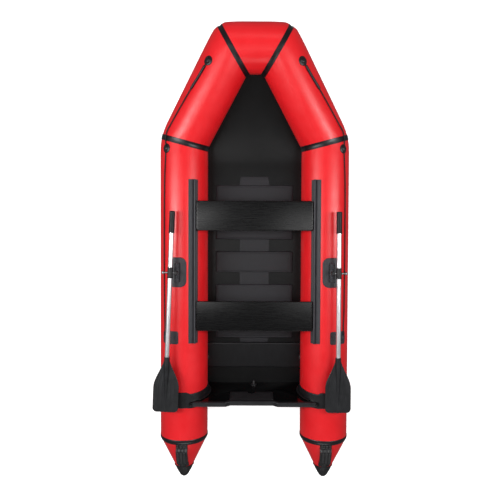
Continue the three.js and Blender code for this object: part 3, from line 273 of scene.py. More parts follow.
def braided(name, low, high, roughness, strand):
    """Braided cord: two sets of strands wind opposite ways, so their wave patterns, slanted in the piece's
    own UV map, cross as diamonds. The colour follows the same pattern as the bump: painted shade in the
    hollows between strands, a painted highlight on their crowns. strand is a strand's width in metres."""
    made, tree, shader = new_material(name, roughness, 1.5)
    uv = add(tree, "UVMap", uv_map="UVMap").outputs["UV"]
    scale = math.pi / (10 * strand)
    waves = []
    for slant in (1, -1):
        turned = add(tree, "Mapping", {"Vector": uv, "Rotation": (0, 0, slant * math.radians(38))})
        wave = add(tree, "TexWave", {"Vector": turned.outputs["Vector"], "Scale": scale})
        waves.append(wave.outputs["Fac"])
    crossed = add(tree, "Math", {0: waves[0], 1: waves[1]}, operation="MAXIMUM").outputs[0]
    # painted shade and highlight: dark where the strands dip, lighter where they rise
    colour = add(tree, "ValToRGB", {"Fac": crossed}, ramp=[(0.2, low), (0.9, high)])
    finish_with(tree, shader, colour.outputs["Color"], crossed, 0.5 * MM)
    return made


# ---------------------------------------------------------------- finishes

# PVC-coated polyester, calendered and pumped hard: saturated, smooth, with a broad soft sheen. The base
# cloth's threads are 1 mm apart; they are drawn at 3 mm so that they show at all.
RED_FABRIC = coated_fabric("pvc_coated_fabric_red", "#ee1d24", "#f5252c", 0.34, 3 * MM, 0.02 * MM)
# The same fabric in black, cut in strips and glued over the seams: it shines along its edges.
TAPE_FABRIC = coated_fabric("pvc_seam_tape_black", "#101013", "#17171b", 0.36, 3 * MM, 0.03 * MM)
# Heavy floor fabric: black, duller, with a coarser weave.
FLOOR_FABRIC = coated_fabric("pvc_floor_fabric_black", "#030304", "#050506", 0.36, 4 * MM, 0.05 * MM,
                             spread=0.02, ior=1.42)
# The sleeves that hold the slats: the same black fabric with a pebbled face.
SLEEVE_FABRIC = stippled("pvc_sleeve_embossed_black", "#1a1a1e", "#212126", 0.58, 1.5 * MM, 0.12 * MM)
# Moulded EPDM rubber: dark grey and matt, with bloom that makes it uneven.
RUBBER = stippled("epdm_rubber_moulded", "#2e2e33", "#38383d", 0.5, 1.2 * MM, 0.10 * MM)
RUBBER_BLACK = stippled("epdm_rubber_moulded_black", "#131315", "#1b1b1e", 0.42, 1.2 * MM, 0.10 * MM)
# Plywood faced with black phenolic film: an even satin with the veneer's lines just showing.
FLOOR_BOARD = grained("film_faced_plywood", "#0e0e10", "#141417", 0.34, 0.05 * MM, (1, 0.06, 1), 2.5 * MM)
# Birch plywood lacquered gloss black: it mirrors the red of the tubes.
TRANSOM_LACQUER = grained("lacquered_plywood_black", "#040405", "#070708", 0.13, 0.02 * MM, (0.06, 1, 1),
                          3 * MM, spread=0.03, Coat_Weight=0.6, Coat_Roughness=0.08)
# Extruded PVC edging: charcoal, satin.
EDGE_TRIM = stippled("extruded_pvc_edging", "#17171a", "#1e1e22", 0.42, 1.5 * MM, 0.03 * MM)
# Plywood bench painted satin black.
SEAT_PAINT = grained("satin_painted_plywood", "#060607", "#0a0a0b", 0.28, 0.03 * MM, (0.05, 1, 1), 2.2 * MM,
                     ior=1.42)
# Glass-filled nylon, moulded with a fine spark-eroded grain.
NYLON = stippled("glass_filled_nylon", "#121214", "#19191c", 0.48, 0.8 * MM, 0.06 * MM)
# Polypropylene blades: black, a little waxy.
POLYPROPYLENE = stippled("polypropylene_moulded", "#18191b", "#202124", 0.45, 1.0 * MM, 0.05 * MM, ior=1.49)
# Drawn aluminium tube, brightly anodised: silver-white with fine lines along it.
ALUMINIUM = grained("anodised_aluminium_drawn", "#eceef1", "#f7f8fa", 0.34, 0.01 * MM, (1, 0.02, 1), 0.8 * MM,
                    metallic=0.85)
# Turned stainless steel: bright, with fine rings from the lathe.
STEEL = grained("stainless_steel_turned", "#8f9094", "#a3a4a8", 0.32, 0.01 * MM, (0.1, 1, 1), 0.5 * MM,
                metallic=1.0)
# Braided polypropylene cord, 8 mm: sixteen strands, drawn 2.5 mm wide, with painted shade in the hollows
# # between them and a painted highlight on their crowns.
ROPE_BRAID = braided("braided_polypropylene_cord", "#070708", "#1d1d20", 0.7, 2.5 * MM)

# ---------------------------------------------------------------- surfaces


def lofted(points, ends="capped"):
    """Faces over rings of points, points[station, place round]. Ends are capped by triangles to the ring's
    middle, joined to each other, or shut, where the ring has no opening."""
    rows, columns = points.shape[:2]
    r = np.arange(rows if ends == "joined" else rows - 1)[:, None]
    c = np.arange(columns)[None, :]
    here, there, after = r * columns, ((r + 1) % rows) * columns, (c + 1) % columns
    quads = np.stack([here + c, here + after, there + after, there + c], -1).reshape(-1, 4)
    flat = points.reshape(-1, 3)
    corners = np.empty((0, 3), int)
    if ends == "capped":
        flat = np.concatenate([flat, points[[0, -1]].mean(1)])
        k, n = np.arange(columns), (np.arange(columns) + 1) % columns
        last = (rows - 1) * columns
        first_fan = np.stack([np.full(columns, rows * columns), n, k], -1)
        last_fan = np.stack([np.full(columns, rows * columns + 1), last + k, last + n], -1)
        corners = np.concatenate([first_fan, last_fan])
    return turned_out(flat, quads, corners) + ((rows, columns),)


def turned_out(points, quads, corners):
    """The faces, turned round if they enclose a negative volume (a sixth of the sum of a . (b x c))."""
    triangles = np.concatenate([quads[:, [0, 1, 2]], quads[:, [0, 2, 3]], corners])
    a, b, c = points[triangles].transpose(1, 0, 2)
    if np.einsum("ij,ij->", a, np.cross(b, c)) < 0:
        return points, quads[:, ::-1], corners[:, ::-1], True
    return points, quads, corners, False


def surface_map(form, spread):
    """UV of every face corner of a lofted form, in metres: spread is (length at each station, way round at
    each column, with one more for the column that closes the ring)."""
    _, quads, corners, flipped, (rows, columns) = form
    lengths, ways = spread
    cells = len(quads) // columns
    r, c = np.divmod(np.arange(cells * columns), columns)
    nxt = np.minimum(r + 1, rows - 1)
    u = np.stack([ways[c], ways[c + 1], ways[c + 1], ways[c]], -1)
    v = np.stack([lengths[r], lengths[r], lengths[nxt], lengths[nxt]], -1)
    out = np.stack([u, v], -1)
    if flipped:
        out = out[:, ::-1]
    return np.concatenate([out.reshape(-1, 2), np.zeros((3 * len(corners), 2))])


def piece(name, forms, material, body="root", replaces=(), slot=None, spreads=None, sharp=40, holes=()):
    """One object from closed forms. Points that coincide are merged, holes are cut with closed forms, and
    edges sharper than sharp degrees stay crisp."""
    points, faces, start = [], [], 0
    for form in forms:
        for block in form[1:3]:
            faces.extend((block + start).tolist())
        points.append(form[0])
        start += len(form[0])
    mesh = bpy.data.meshes.new(name)
    mesh.from_pydata(np.concatenate(points).tolist(), [], faces)
    if spreads is not None:
        layer = mesh.uv_layers.new(name="UVMap")
        flat = np.concatenate([surface_map(f, s) for f, s in zip(forms, spreads)])
        layer.data.foreach_set("uv", flat.astype(np.float32).ravel())
    work = bmesh.new()
    work.from_mesh(mesh)
    bmesh.ops.remove_doubles(work, verts=work.verts, dist=1e-6)
    work.to_mesh(mesh)
    work.free()
    made = bpy.data.objects.new(name, mesh)
    bpy.context.scene.collection.objects.link(made)
    for hole in holes:
        cut_away(made, hole)
    shade(made.data, sharp)
    made.data.materials.clear()
    made.data.materials.append(material)
    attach(made, body)
    if replaces:
        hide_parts(*replaces)
    return made


def shade(mesh, sharp):
    """Smooth shading, except over edges sharper than sharp degrees."""
    mesh.polygons.foreach_set("use_smooth", np.ones(len(mesh.polygons), bool))
    mesh.set_sharp_from_angle(angle=math.radians(sharp))


def cut_away(made, hole):
    """Cuts one closed form out of an object's mesh."""
    mesh = bpy.data.meshes.new("hole")
    faces = [f for block in hole[1:3] for f in block.tolist()]
    mesh.from_pydata(hole[0].tolist(), [], faces)
    tool = bpy.data.objects.new("hole", mesh)
    bpy.context.scene.collection.objects.link(tool)
    cut = made.modifiers.new("hole", "BOOLEAN")
    cut.operation, cut.solver, cut.object = "DIFFERENCE", "EXACT", tool
    graph = bpy.context.evaluated_depsgraph_get()
    graph.update()
    result = bpy.data.meshes.new_from_object(made.evaluated_get(graph))
    made.modifiers.clear()
    made.data = result
    bpy.data.objects.remove(tool)


def along_lengths(points):
    """Distance run at each station, along the first column."""
    steps = np.linalg.norm(np.diff(points[:, 0], axis=0), axis=1)
    return np.concatenate([[0], np.cumsum(steps)])


def ring_ways(points):
    """Distance run round the first ring, back to its start."""
    ring = np.concatenate([points[0], points[0][:1]])
    return np.concatenate([[0], np.cumsum(np.linalg.norm(np.diff(ring, axis=0), axis=1))])


def mapped_piece(name, rings, material, ends="joined", **more):
    """A lofted piece whose UV map runs along it and round it, in metres."""
    forms = [lofted(r, ends) for r in rings]
    spreads = [(along_lengths(r), ring_ways(r)) for r in rings]
    return piece(name, forms, material, spreads=spreads, **more)


def frame_of(axis, near=(0, 0, 1)):
    """Three axes at right angles: two across the given one, then the axis itself."""
    w = unit(axis)
    guide = vec(*near)
    if abs(w.dot(guide)) > 0.95:
        guide = vec(0, 1, 0)
    u = unit(np.cross(guide, w))
    return u, np.cross(w, u), w


def spun(profile, sides, origin=(0, 0, 0), axis=(0, 0, 1), ripple=None):
    """A profile of (radius, height) turned round an axis: at each angle a the point is
    origin + radius (cos a u + sin a v) + height w. ripple(angle, radius, height) may add to the radius."""
    profile = np.array(profile, float)
    angle = np.arange(sides) / sides * 2 * math.pi
    radius = np.broadcast_to(profile[:, :1], (len(profile), sides)).copy()
    height = np.broadcast_to(profile[:, 1:], (len(profile), sides))
    if ripple is not None:
        radius += ripple(angle[None, :], radius, height)
    u, v, w = frame_of(axis)
    cos, sin = np.cos(angle)[None, :, None], np.sin(angle)[None, :, None]
    return vec(*origin) + radius[..., None] * (cos * u + sin * v) + height[..., None] * w


def rounded(profile, radius, steps=4):
    """A polyline with its inner corners replaced by arcs: each corner's two tangent points, joined by a
    quadratic curve whose middle point is the corner."""
    profile = [vec(*p) for p in profile]
    out = [profile[0]]
    for before, corner, after in zip(profile, profile[1:], profile[2:]):
        a, b = before - corner, after - corner
        reach = min(radius, 0.45 * np.linalg.norm(a), 0.45 * np.linalg.norm(b))
        start, end = corner + unit(a) * reach, corner + unit(b) * reach
        for t in np.linspace(0, 1, steps + 1):
            out.append((1 - t) ** 2 * start + 2 * t * (1 - t) * corner + t**2 * end)
    out.append(profile[-1])
    return np.array(out)


def round_outline(outline, radius, steps=4):
    """The same for a closed outline."""
    outline = np.array(outline, float)
    rolled = np.concatenate([outline[-1:], outline, outline[:1]])
    return rounded(rolled, radius, steps)[1:-1]


def offset(outline, inset):
    """A closed outline moved inwards by inset, along the mean of the normals of its two sides at each
    point, lengthened so that the sides move by inset."""
    before = outline - np.roll(outline, 1, 0)
    after = np.roll(outline, -1, 0) - outline
    total = sum(
        np.stack([-d[:, 1], d[:, 0]], -1) / np.linalg.norm(d, axis=1, keepdims=True)
        for d in (before, after)
    )
    area = np.sum(outline[:, 0] * np.roll(outline[:, 1], -1) - outline[:, 1] * np.roll(outline[:, 0], -1))
    scale = 2 / np.maximum(np.sum(total * total, axis=1, keepdims=True), 0.5)
    return outline + math.copysign(1, area) * inset * total * scale


def plate(outline, low, high, edge, axes=None, origin=(0, 0, 0), steps=3):
    """A flat plate: the outline carried from low to high, with quarter-round edges, its flat faces closed as
    one polygon each. axes are the outline's two axes and the plate's own."""
    turn = np.linspace(0, math.pi / 2, steps + 1)
    insets = np.concatenate([edge * (1 - np.sin(turn)), edge * (1 - np.sin(turn))[::-1]])
    heights = np.concatenate([low + edge * (1 - np.cos(turn)), high - edge * (1 - np.cos(turn))[::-1]])
    rings = np.stack([
        np.concatenate([offset(outline, i), np.full((len(outline), 1), h)], axis=1)
        for i, h in zip(insets, heights)
    ])
    u, v, w = axes or (vec(1, 0, 0), vec(0, 1, 0), vec(0, 0, 1))
    placed = vec(*origin) + rings[..., :1] * u + rings[..., 1:2] * v + rings[..., 2:] * w
    return placed


def capped_plate(placed):
    """Faces for a plate's rings: quads round the edge, and one polygon of many corners for each flat face.
    All are turned round if the whole, with its flat faces as fans, encloses a negative volume."""
    points, quads, _, flipped, (rows, columns) = lofted(placed, "shut")
    first = np.arange(columns)[::-1]
    last = (rows - 1) * columns + np.arange(columns)
    if flipped:
        quads = quads[:, ::-1]
    fans = [np.stack([np.full(columns - 2, f[0]), f[1:-1], f[2:]], -1) for f in (first, last)]
    a, b, c = points[np.concatenate([quads[:, [0, 1, 2]], quads[:, [0, 2, 3]], *fans])].transpose(1, 0, 2)
    turn = -1 if np.einsum("ij,ij->", a, np.cross(b, c)) < 0 else 1
    return points, quads[:, ::turn], np.stack([first, last])[:, ::turn]


def plates(name, rings, material, **more):
    """A piece of one or more plates."""
    return piece(name, [capped_plate(r) for r in rings], material, **more)


def smooth(x):
    """0 below 0, 1 above 1, and an even S between them."""
    x = np.clip(x, 0, 1)
    return x * x * (3 - 2 * x)


def crowded(half, edge, count, steps=5):
    """Places from -half to half, with the spacing of a quarter circle of radius edge at both ends."""
    arc = edge * (1 - np.cos(np.linspace(0, math.pi / 2, steps + 1)))[:-1]
    middle = np.linspace(-(half - edge), half - edge, count)
    return np.concatenate([arc - half, middle, half - arc[::-1]])


def slab(half_width, half_length, corner, thickness, edge, count=(14, 14), relief=None, base=0.0):
    """A rounded-rectangle pad lying flat: rings of (across, along, height). The height rises from the
    outline as a quarter ellipse, edge wide and thickness high; relief(across, along) adds to it, fading in
    over twice the edge."""
    along = crowded(half_length, edge, count[1])
    past = np.clip(np.abs(along) - (half_length - corner), 0, corner)
    width = half_width - corner + np.sqrt(corner**2 - past**2)
    across = width[:, None] * (crowded(half_width, edge, count[0]) / half_width)[None, :]
    lengthwise = np.broadcast_to(along[:, None], across.shape)
    qx, qy = np.abs(across) - (half_width - corner), np.abs(lengthwise) - (half_length - corner)
    inside = corner - np.hypot(np.maximum(qx, 0), np.maximum(qy, 0)) - np.minimum(np.maximum(qx, qy), 0)
    near = np.clip(inside, 0, edge)
    height = thickness * np.sqrt(np.clip(1 - (1 - near / edge) ** 2, 0, 1))
    if relief is not None:
        height = height + relief(across, lengthwise) * smooth((inside - edge) / edge)
    top = np.stack([across, lengthwise, height + base], -1)
    bottom = np.stack([across, lengthwise, np.full_like(across, base)], -1)[:, 1:-1][:, ::-1]
    return np.concatenate([top, bottom], axis=1)


def wrapped(points, origin, axes, angle, radius=TUBE_RADIUS):
    """Bends flat points (across, along, height) round a tube: across becomes an angle from the tube's top,
    outboard positive, and height adds to the radius."""
    along, out, up = axes
    turn = math.radians(angle) + points[..., :1] / radius
    reach = radius + points[..., 2:]
    return vec(*origin) + reach * (np.sin(turn) * out + np.cos(turn) * up) + points[..., 1:2] * along


def on_side(points, y, angle):
    """Flat points bent round the starboard side tube, at y and so many degrees outboard of its top."""
    return wrapped(points, (AXIS_X, y, AXIS_Z), (vec(0, 1, 0), vec(1, 0, 0), vec(0, 0, 1)), angle)


def for_side(points, side):
    """Starboard points, mirrored for port."""
    return points * vec(SIDES[side], 1, 1)


def both(build):
    """Runs a builder for each side."""
    for side in SIDES:
        build(side)


# ---------------------------------------------------------------- lifelines

ROPE_RADIUS = 4 * MM
LIFELINE_LENGTH = 1.987
# The route, from the bow eye aft to the eye on the after patch, as the solid has it.
LIFELINE_ROUTE = np.array([
    (319, 1324, 481), (339, 1291, 471), (380, 1231, 447), (430, 1164, 419),
    (482, 1090, 388), (533, 1015, 358), (583, 939, 329), (618, 882, 311),
    (626, 815, 308), (625, 795, 310), (625, 771, 310), (625, 747, 310),
    (628, 690, 307), (634, 560, 302), (637, 380, 298), (638, 180, 297),
    (638, -20, 297), (637, -220, 298), (635, -400, 301), (632, -470, 304),
    (632, -505, 307), (632, -525, 307), (632, -542, 307),
]) * MM


def through(points, steps=40):
    """A centripetal Catmull-Rom curve: between two points a cubic whose end slopes come from the points on
    either side, weighed by the square roots of the distances."""
    ends = [2 * points[0] - points[1], *points, 2 * points[-1] - points[-2]]
    t = np.linspace(0, 1, steps, endpoint=False)[:, None]
    out = []
    for a, b, c, d in zip(ends, ends[1:], ends[2:], ends[3:]):
        s0, s1, s2 = (math.sqrt(np.linalg.norm(q - p)) for p, q in ((a, b), (b, c), (c, d)))
        m1 = ((b - a) / s0 - (c - a) / (s0 + s1) + (c - b) / s1) * s1
        m2 = ((c - b) / s1 - (d - b) / (s1 + s2) + (d - c) / s2) * s1
        out.append(b + m1 * t + (3 * (c - b) - 2 * m1 - m2) * t**2 + (2 * (b - c) + m1 + m2) * t**3)
    return np.concatenate([*out, points[-1:]])


def evenly(points, count):
    """count points at equal distances along a line of points."""
    run = np.concatenate([[0], np.cumsum(np.linalg.norm(np.diff(points, axis=0), axis=1))])
    at = np.linspace(0, run[-1], count)
    return np.stack([np.interp(at, run, points[:, k]) for k in range(3)], -1)


def hose(path, radius, sides, ripple=None, closed=False):
    """A round section carried along a path: each ring stands square to the path, with its first point
    upwards. ripple(distance run, angle) adds to the radius."""
    tangent = np.gradient(path, axis=0)
    if closed:
        tangent = np.roll(path, -1, 0) - np.roll(path, 1, 0)
    tangent /= np.linalg.norm(tangent, axis=1, keepdims=True)
    up = vec(0, 0, 1) - tangent * tangent[:, 2:]
    up /= np.linalg.norm(up, axis=1, keepdims=True)
    out = np.cross(tangent, up)
    angle = np.arange(sides) / sides * 2 * math.pi
    reach = np.broadcast_to(np.atleast_1d(radius)[:, None], (len(path), sides)).astype(float)
    if ripple is not None:
        run = np.concatenate([[0], np.cumsum(np.linalg.norm(np.diff(path, axis=0), axis=1))])
        reach = reach + ripple(run[:, None], angle[None, :])
    ring = np.cos(angle)[None, :, None] * up[:, None] + np.sin(angle)[None, :, None] * out[:, None]
    return path[:, None] + reach[..., None] * ring


def braid(run, angle):
    """Strands crossing as diamonds: the larger of two waves that wind opposite ways, eight to the turn."""
    lay = 2 * math.pi * run / (22 * MM)
    one, other = np.cos(4 * angle + 4 * lay), np.cos(4 * angle - 4 * lay)
    return 0.35 * MM * (np.maximum(one, other) - 0.6)


SLEEVE_START, SLEEVE_LENGTH = 34 * MM, 185 * MM


def lifeline(side):
    """Cord, the hose sleeve that a hand holds by the bow eye, and the knot ahead of that eye. The knot is a
    trefoil, (sin t + 2 sin 2t, cos t - 2 cos 2t, -sin 3t) for t from 0 to one turn."""
    centre = evenly(for_side(through(LIFELINE_ROUTE), side), 900)
    rope = hose(centre, ROPE_RADIUS, 20, braid)
    made = mapped_piece(f"{side}_lifeline_cord", [rope], ROPE_BRAID, ends="capped",
                        replaces=[f"{side}_lifeline"], slot="rope")
    run = np.linspace(0, LIFELINE_LENGTH, len(centre))
    held = centre[(run > SLEEVE_START) & (run < SLEEVE_START + SLEEVE_LENGTH)]
    bore = hose(held, ROPE_RADIUS + 0.4 * MM, 24)
    ends = smooth(np.minimum(np.arange(len(held)), np.arange(len(held))[::-1]) / 3)
    outside = hose(held, ROPE_RADIUS + 1.2 * MM + 3.6 * MM * ends, 24)
    sleeve_rings = np.concatenate([outside, bore[::-1]])
    sleeve = mapped_piece(f"{side}_lifeline_sleeve", [sleeve_rings], RUBBER_BLACK, slot="rubber")
    t = np.linspace(0, 2 * math.pi, 90, endpoint=False)[:, None]
    lobes = np.concatenate([np.sin(t) + 2 * np.sin(2 * t), np.cos(t) - 2 * np.cos(2 * t), -np.sin(3 * t)], 1)
    start, ahead = centre[0], unit(centre[0] - centre[6])
    u, v, w = frame_of(ahead)
    knot_path = start + ahead * 6 * MM + (lobes[:, :1] * u + lobes[:, 1:2] * v + lobes[:, 2:] * w) * 2.6 * MM
    knot = mapped_piece(f"{side}_lifeline_knot", [hose(knot_path, ROPE_RADIUS * 0.85, 12, closed=True)],
                        ROPE_BRAID, slot="rope")


both(lifeline)

# ---------------------------------------------------------------- tubes


def cut_ring(radius, axes, cut, shift=0.0):
    """The ring where a tube of this radius meets a plane, moved along the tube by shift."""
    along, out, up = axes
    point, normal = cut
    angle = (np.arange(ROUND) / ROUND * 2 * math.pi)[:, None]
    ring = point + radius * (np.cos(angle) * out + np.sin(angle) * up)
    reach = ((point - ring) @ normal) / along.dot(normal)
    return ring + (reach + shift)[:, None] * along


PUCKERS, PUCKER_DEPTH, PUCKER_PLACE, PUCKER_FADE = 20, 0.9 * MM, 30 * MM, 34 * MM


def inflated(axes, start, end, stations=70, phase=0.0):
    """A tube between two cuts. Just beyond the tapes the tight fabric draws in as small folds: the radius
    loses PUCKER_DEPTH times a wave round the tube times a bell of the distance from the cut."""
    shrink = 0.2 * MM
    first, last = cut_ring(TUBE_RADIUS, axes, start, shrink), cut_ring(TUBE_RADIUS, axes, end, -shrink)
    t = (1 - np.cos(np.linspace(0, math.pi, stations))) / 2
    outside = first + (last - first) * t[:, None, None]
    angle = np.arange(ROUND) / ROUND * 2 * math.pi
    length = np.linalg.norm(last - first, axis=1)
    from_start, from_end = t[:, None] * length, (1 - t[:, None]) * length
    bell = sum(np.exp(-(((d - PUCKER_PLACE) / PUCKER_FADE) ** 2)) for d in (from_start, from_end))
    folds = 0.5 + 0.5 * np.cos(PUCKERS * angle + phase + 1.3 * np.sin(3 * angle))
    _, out, up = axes
    radial = np.cos(angle)[:, None] * out + np.sin(angle)[:, None] * up
    outside = outside - (PUCKER_DEPTH * bell * folds)[..., None] * radial
    inner = TUBE_RADIUS - TUBE_WALL
    inside = np.stack([cut_ring(inner, axes, end, -shrink), cut_ring(inner, axes, start, shrink)])
    return np.concatenate([outside, inside])


def band(before, after, cut, half, lift=0.3 * MM, thickness=1.4 * MM):
    """A strip glued over a seam, half its width on each tube, thinned at both edges."""
    low, high = TUBE_RADIUS + lift - 0.2 * MM, TUBE_RADIUS + lift + thickness
    thin = low + 0.45 * thickness
    rings = [
        cut_ring(low, before, cut, -half), cut_ring(thin, before, cut, -half),
        cut_ring(high, before, cut, -half + 1.2 * MM), cut_ring(high, before, cut, -half / 2),
        cut_ring(high, before, cut, 0), cut_ring(high, after, cut, half / 2),
        cut_ring(high, after, cut, half - 1.2 * MM), cut_ring(thin, after, cut, half),
        cut_ring(low, after, cut, half), cut_ring(low, before, cut, 0),
    ]
    return np.stack(rings)


VALVE_Y, VALVE_DROP = -740 * MM, 16
VALVE_AXIS = vec(-math.cos(math.radians(VALVE_DROP)), 0, -math.sin(math.radians(VALVE_DROP)))
VALVE_FOOT = vec(AXIS_X, VALVE_Y, AXIS_Z) + VALVE_AXIS * TUBE_RADIUS


def tube_fabric(side, name, node, axes, cuts, stations, phase, holes=()):
    """The skin of one tube: the cylinder between its two cuts, with its folds and its rounded bends."""
    rings = for_side(softened(inflated(axes, *cuts, stations, phase)), side)
    mapped_piece(f"{side}_{name}_fabric", [rings], RED_FABRIC, replaces=[f"{side}_{node}"],
                 slot="tube_fabric", holes=holes)


def side_tube(side):
    """The side tube's skin, with the round hole that the valve's barrel goes through."""
    hole = spun(mm((0, -9), (24.5, -9), (24.5, 6), (0, 6)), 40, VALVE_FOOT, VALVE_AXIS)
    tube_fabric(side, "side_tube", "side_tube", SIDE_AXES, (STERN_CUT, SHOULDER_CUT), 120, 0.0,
                [lofted(for_side(hole, side))])


def quarter_tube(side):
    """The skin of the slanting tube between a side tube and the bow tube."""
    tube_fabric(side, "bow_quarter", "bow_quarter_tube", QUARTER_AXES, (SHOULDER_CUT, BOW_CUT), 110, 1.0)


both(side_tube)
both(quarter_tube)
# The bow tube meets a mitre at each end: it is rounded for starboard, then as its mirror image for port.
bow_rings = softened(inflated(BOW_AXES, BOW_CUT, FAR_CUT, 80, 2.0))
bow_rings = softened(bow_rings * vec(-1, 1, 1)) * vec(-1, 1, 1)
mapped_piece("bow_tube_fabric", [bow_rings], RED_FABRIC, replaces=["bow_tube"], slot="tube_fabric")


def seam_bands(side):
    """The two tapes glued over this side's mitres, 40 mm wide."""
    for name, before, after, cut in (
        ("shoulder", SIDE_AXES, QUARTER_AXES, SHOULDER_CUT),
        ("bow", QUARTER_AXES, BOW_AXES, BOW_CUT),
    ):
        rings = for_side(softened(band(before, after, cut, 20 * MM)), side)
        mapped_piece(f"{side}_{name}_tape", [rings], TAPE_FABRIC,
                     replaces=[f"{side}_{name}_seam_tape"], slot="seam_tape")


both(seam_bands)

CONE_LENGTH = CONE_SEAM_Y - CONE_END_Y
CONE_SLOPE = (TUBE_RADIUS - CONE_END_RADIUS) / CONE_LENGTH


def cone(side):
    """The stern cone: its radius falls evenly from the seam to the end, with the same small folds by the
    seam; and the strip glued over that seam."""
    y = np.concatenate([np.linspace(0, 0.35, 24), np.linspace(0.37, 1, 14)]) * CONE_LENGTH
    angle = np.arange(ROUND) / ROUND * 2 * math.pi
    folds = 0.5 + 0.5 * np.cos(PUCKERS * angle + 0.7)
    bell = np.exp(-(((y - PUCKER_PLACE) / PUCKER_FADE) ** 2))
    radius = (TUBE_RADIUS - CONE_SLOPE * y)[:, None] - PUCKER_DEPTH * bell[:, None] * folds
    ring = np.stack([np.cos(angle), np.zeros(ROUND), np.sin(angle)], -1)
    centre = STERN - np.array([0, 1, 0]) * (y[:, None, None] + 0.2 * MM)
    outside = centre + radius[..., None] * ring
    inner = np.array([CONE_END_RADIUS, TUBE_RADIUS])[:, None, None] - TUBE_WALL
    inside = centre[[-1, 0]] + inner * ring
    mapped_piece(f"{side}_cone_fabric", [for_side(np.concatenate([outside, inside]), side)], RED_FABRIC,
                 replaces=[f"{side}_stern_cone"], slot="tube_fabric")
    half, low, high = 18 * MM, 0.1 * MM, 1.7 * MM
    stations = [(half, low), (half, 0.8 * MM), (half - 1.2 * MM, high), (0, high), (-half + 1.2 * MM, high),
                (-half, 0.8 * MM), (-half, low), (0, low)]
    rings = []
    for ahead, lift in stations:
        size = TUBE_RADIUS + lift + min(ahead, 0) * CONE_SLOPE
        rings.append(STERN + vec(0, ahead, 0) + size * ring)
    mapped_piece(f"{side}_cone_tape", [for_side(np.stack(rings), side)], TAPE_FABRIC, slot="seam_tape")


both(cone)

# ---------------------------------------------------------------- cone caps and stern handles


def cone_cap(side):
    """A rubber cup over the cone's end: a flared rim, a rolled lip, and a rounded nose with ribs along it
    that fade out towards the tip."""
    inside = CONE_END_RADIUS + 0.4 * MM
    wall, skirt, length, nose = 3.0 * MM, 12 * MM, 85 * MM, 32 * MM
    outside = inside + wall
    flare = skirt * CONE_SLOPE
    lip = [(inside + flare, -skirt), (outside + flare + 1 * MM, -skirt),
           (outside + flare + 1 * MM, -skirt + 5 * MM), (outside + 2 * MM, -2 * MM), (outside, 3 * MM)]
    turn = np.radians(np.linspace(25, 90, 12))
    tip = np.stack([nose * np.cos(turn), length - nose + nose * np.sin(turn)], -1)
    flank = np.linspace(lip[-1], tip[0], 9)[1:-1]
    rows = np.concatenate([[(0, 0.3 * MM), (inside, 0.3 * MM)], lip, flank, tip])

    def ribs(angle, radius, height):
        fade = smooth((height - 6 * MM) / (12 * MM)) * smooth((length - 6 * MM - height) / (16 * MM))
        return 2.4 * MM * fade * smooth(1.6 * np.cos(12 * angle))

    rings = spun(rows, 144, STERN - vec(0, CONE_LENGTH, 0), (0, -1, 0), ribs)
    piece(f"{side}_cone_cup", [lofted(for_side(rings, side), "shut")], RUBBER_BLACK,
          replaces=[f"{side}_cone_cap"], slot="rubber")


both(cone_cap)


def stern_handle(side):
    """A moulded strap over the cone: its two feet lie on the fabric and its middle arches clear. Its top is
    the sum of the arch and of ridges that run along it."""
    width, thickness, rise, foot = 84 * MM, 5 * MM, 26 * MM, 34 * MM
    slant = math.hypot(CONE_LENGTH, TUBE_RADIUS - CONE_END_RADIUS)
    start, end = 14 * MM, slant - 16 * MM
    s = np.concatenate([[0, 1, 3], np.linspace(6, 94, 60), [97, 99, 100]]) / 100 * (end - start) + start
    inner = np.minimum(s - start, end - s)
    top = thickness + (rise - thickness) * smooth((inner - 0.8 * foot) / (0.9 * foot))
    low = 0.2 * MM + (rise - thickness - 0.2 * MM) * smooth((inner - 0.95 * foot) / (0.9 * foot))
    end_round = np.sqrt(np.clip(1 - (1 - np.clip(inner / (4 * MM), 0, 1)) ** 2, 0, 1))
    x = crowded(width / 2, 2.5 * MM, 40, 3)
    edge = np.clip((width / 2 - np.abs(x)) / (2.5 * MM), 0, 1)
    side_round = np.sqrt(np.clip(1 - (1 - edge) ** 2, 0, 1))
    wave = 0.5 - 0.5 * np.cos(2 * math.pi * x / (24 * MM))
    ridge = 2.6 * MM * wave * smooth((width / 2 - np.abs(x)) / (6 * MM))
    # The feet bend with the cone; the arch is straight across.
    radius = (TUBE_RADIUS - CONE_SLOPE * s / slant * CONE_LENGTH)[:, None]
    flat_middle = smooth((inner - 0.6 * foot) / foot)[:, None]
    hug = (radius - np.sqrt(radius**2 - x**2)) * (1 - flat_middle)
    body = (top - low)[:, None] * side_round * end_round[:, None]
    upper = low[:, None] + body + ridge * smooth((body - 2 * MM) / (2 * MM)) - hug
    lower = np.broadcast_to(low[:, None], upper.shape) - hug
    slope = math.atan(CONE_SLOPE)
    along, normal = vec(0, -math.cos(slope), -math.sin(slope)), vec(0, -math.sin(slope), math.cos(slope))
    origin = vec(AXIS_X, CONE_SEAM_Y, AXIS_Z + TUBE_RADIUS)
    flat = origin + s[:, None, None] * along + x[None, :, None] * vec(1, 0, 0)
    faces = [flat + height[..., None] * normal for height in (upper, lower)]
    rings = np.concatenate([faces[0], faces[1][:, 1:-1][:, ::-1]], axis=1)
    piece(f"{side}_stern_strap", [lofted(for_side(rings, side), "shut")], RUBBER_BLACK,
          replaces=[f"{side}_stern_handle"], slot="rubber")


both(stern_handle)

# ---------------------------------------------------------------- floor

FLOOR_LOW, FLOOR_THICK = 22 * MM, 3 * MM
FLOOR_RISE_Y = 700 * MM
FLOOR_END_Y = BOW_Y - TUBE_RADIUS * math.cos(math.radians(45))
FLOOR_END_Z = BOW_Z - TUBE_RADIUS * math.sin(math.radians(45))
TRANSOM_FOOT_Y, TRANSOM_THICK = -956 * MM, 25 * MM
SLAT_THICK = 15 * MM


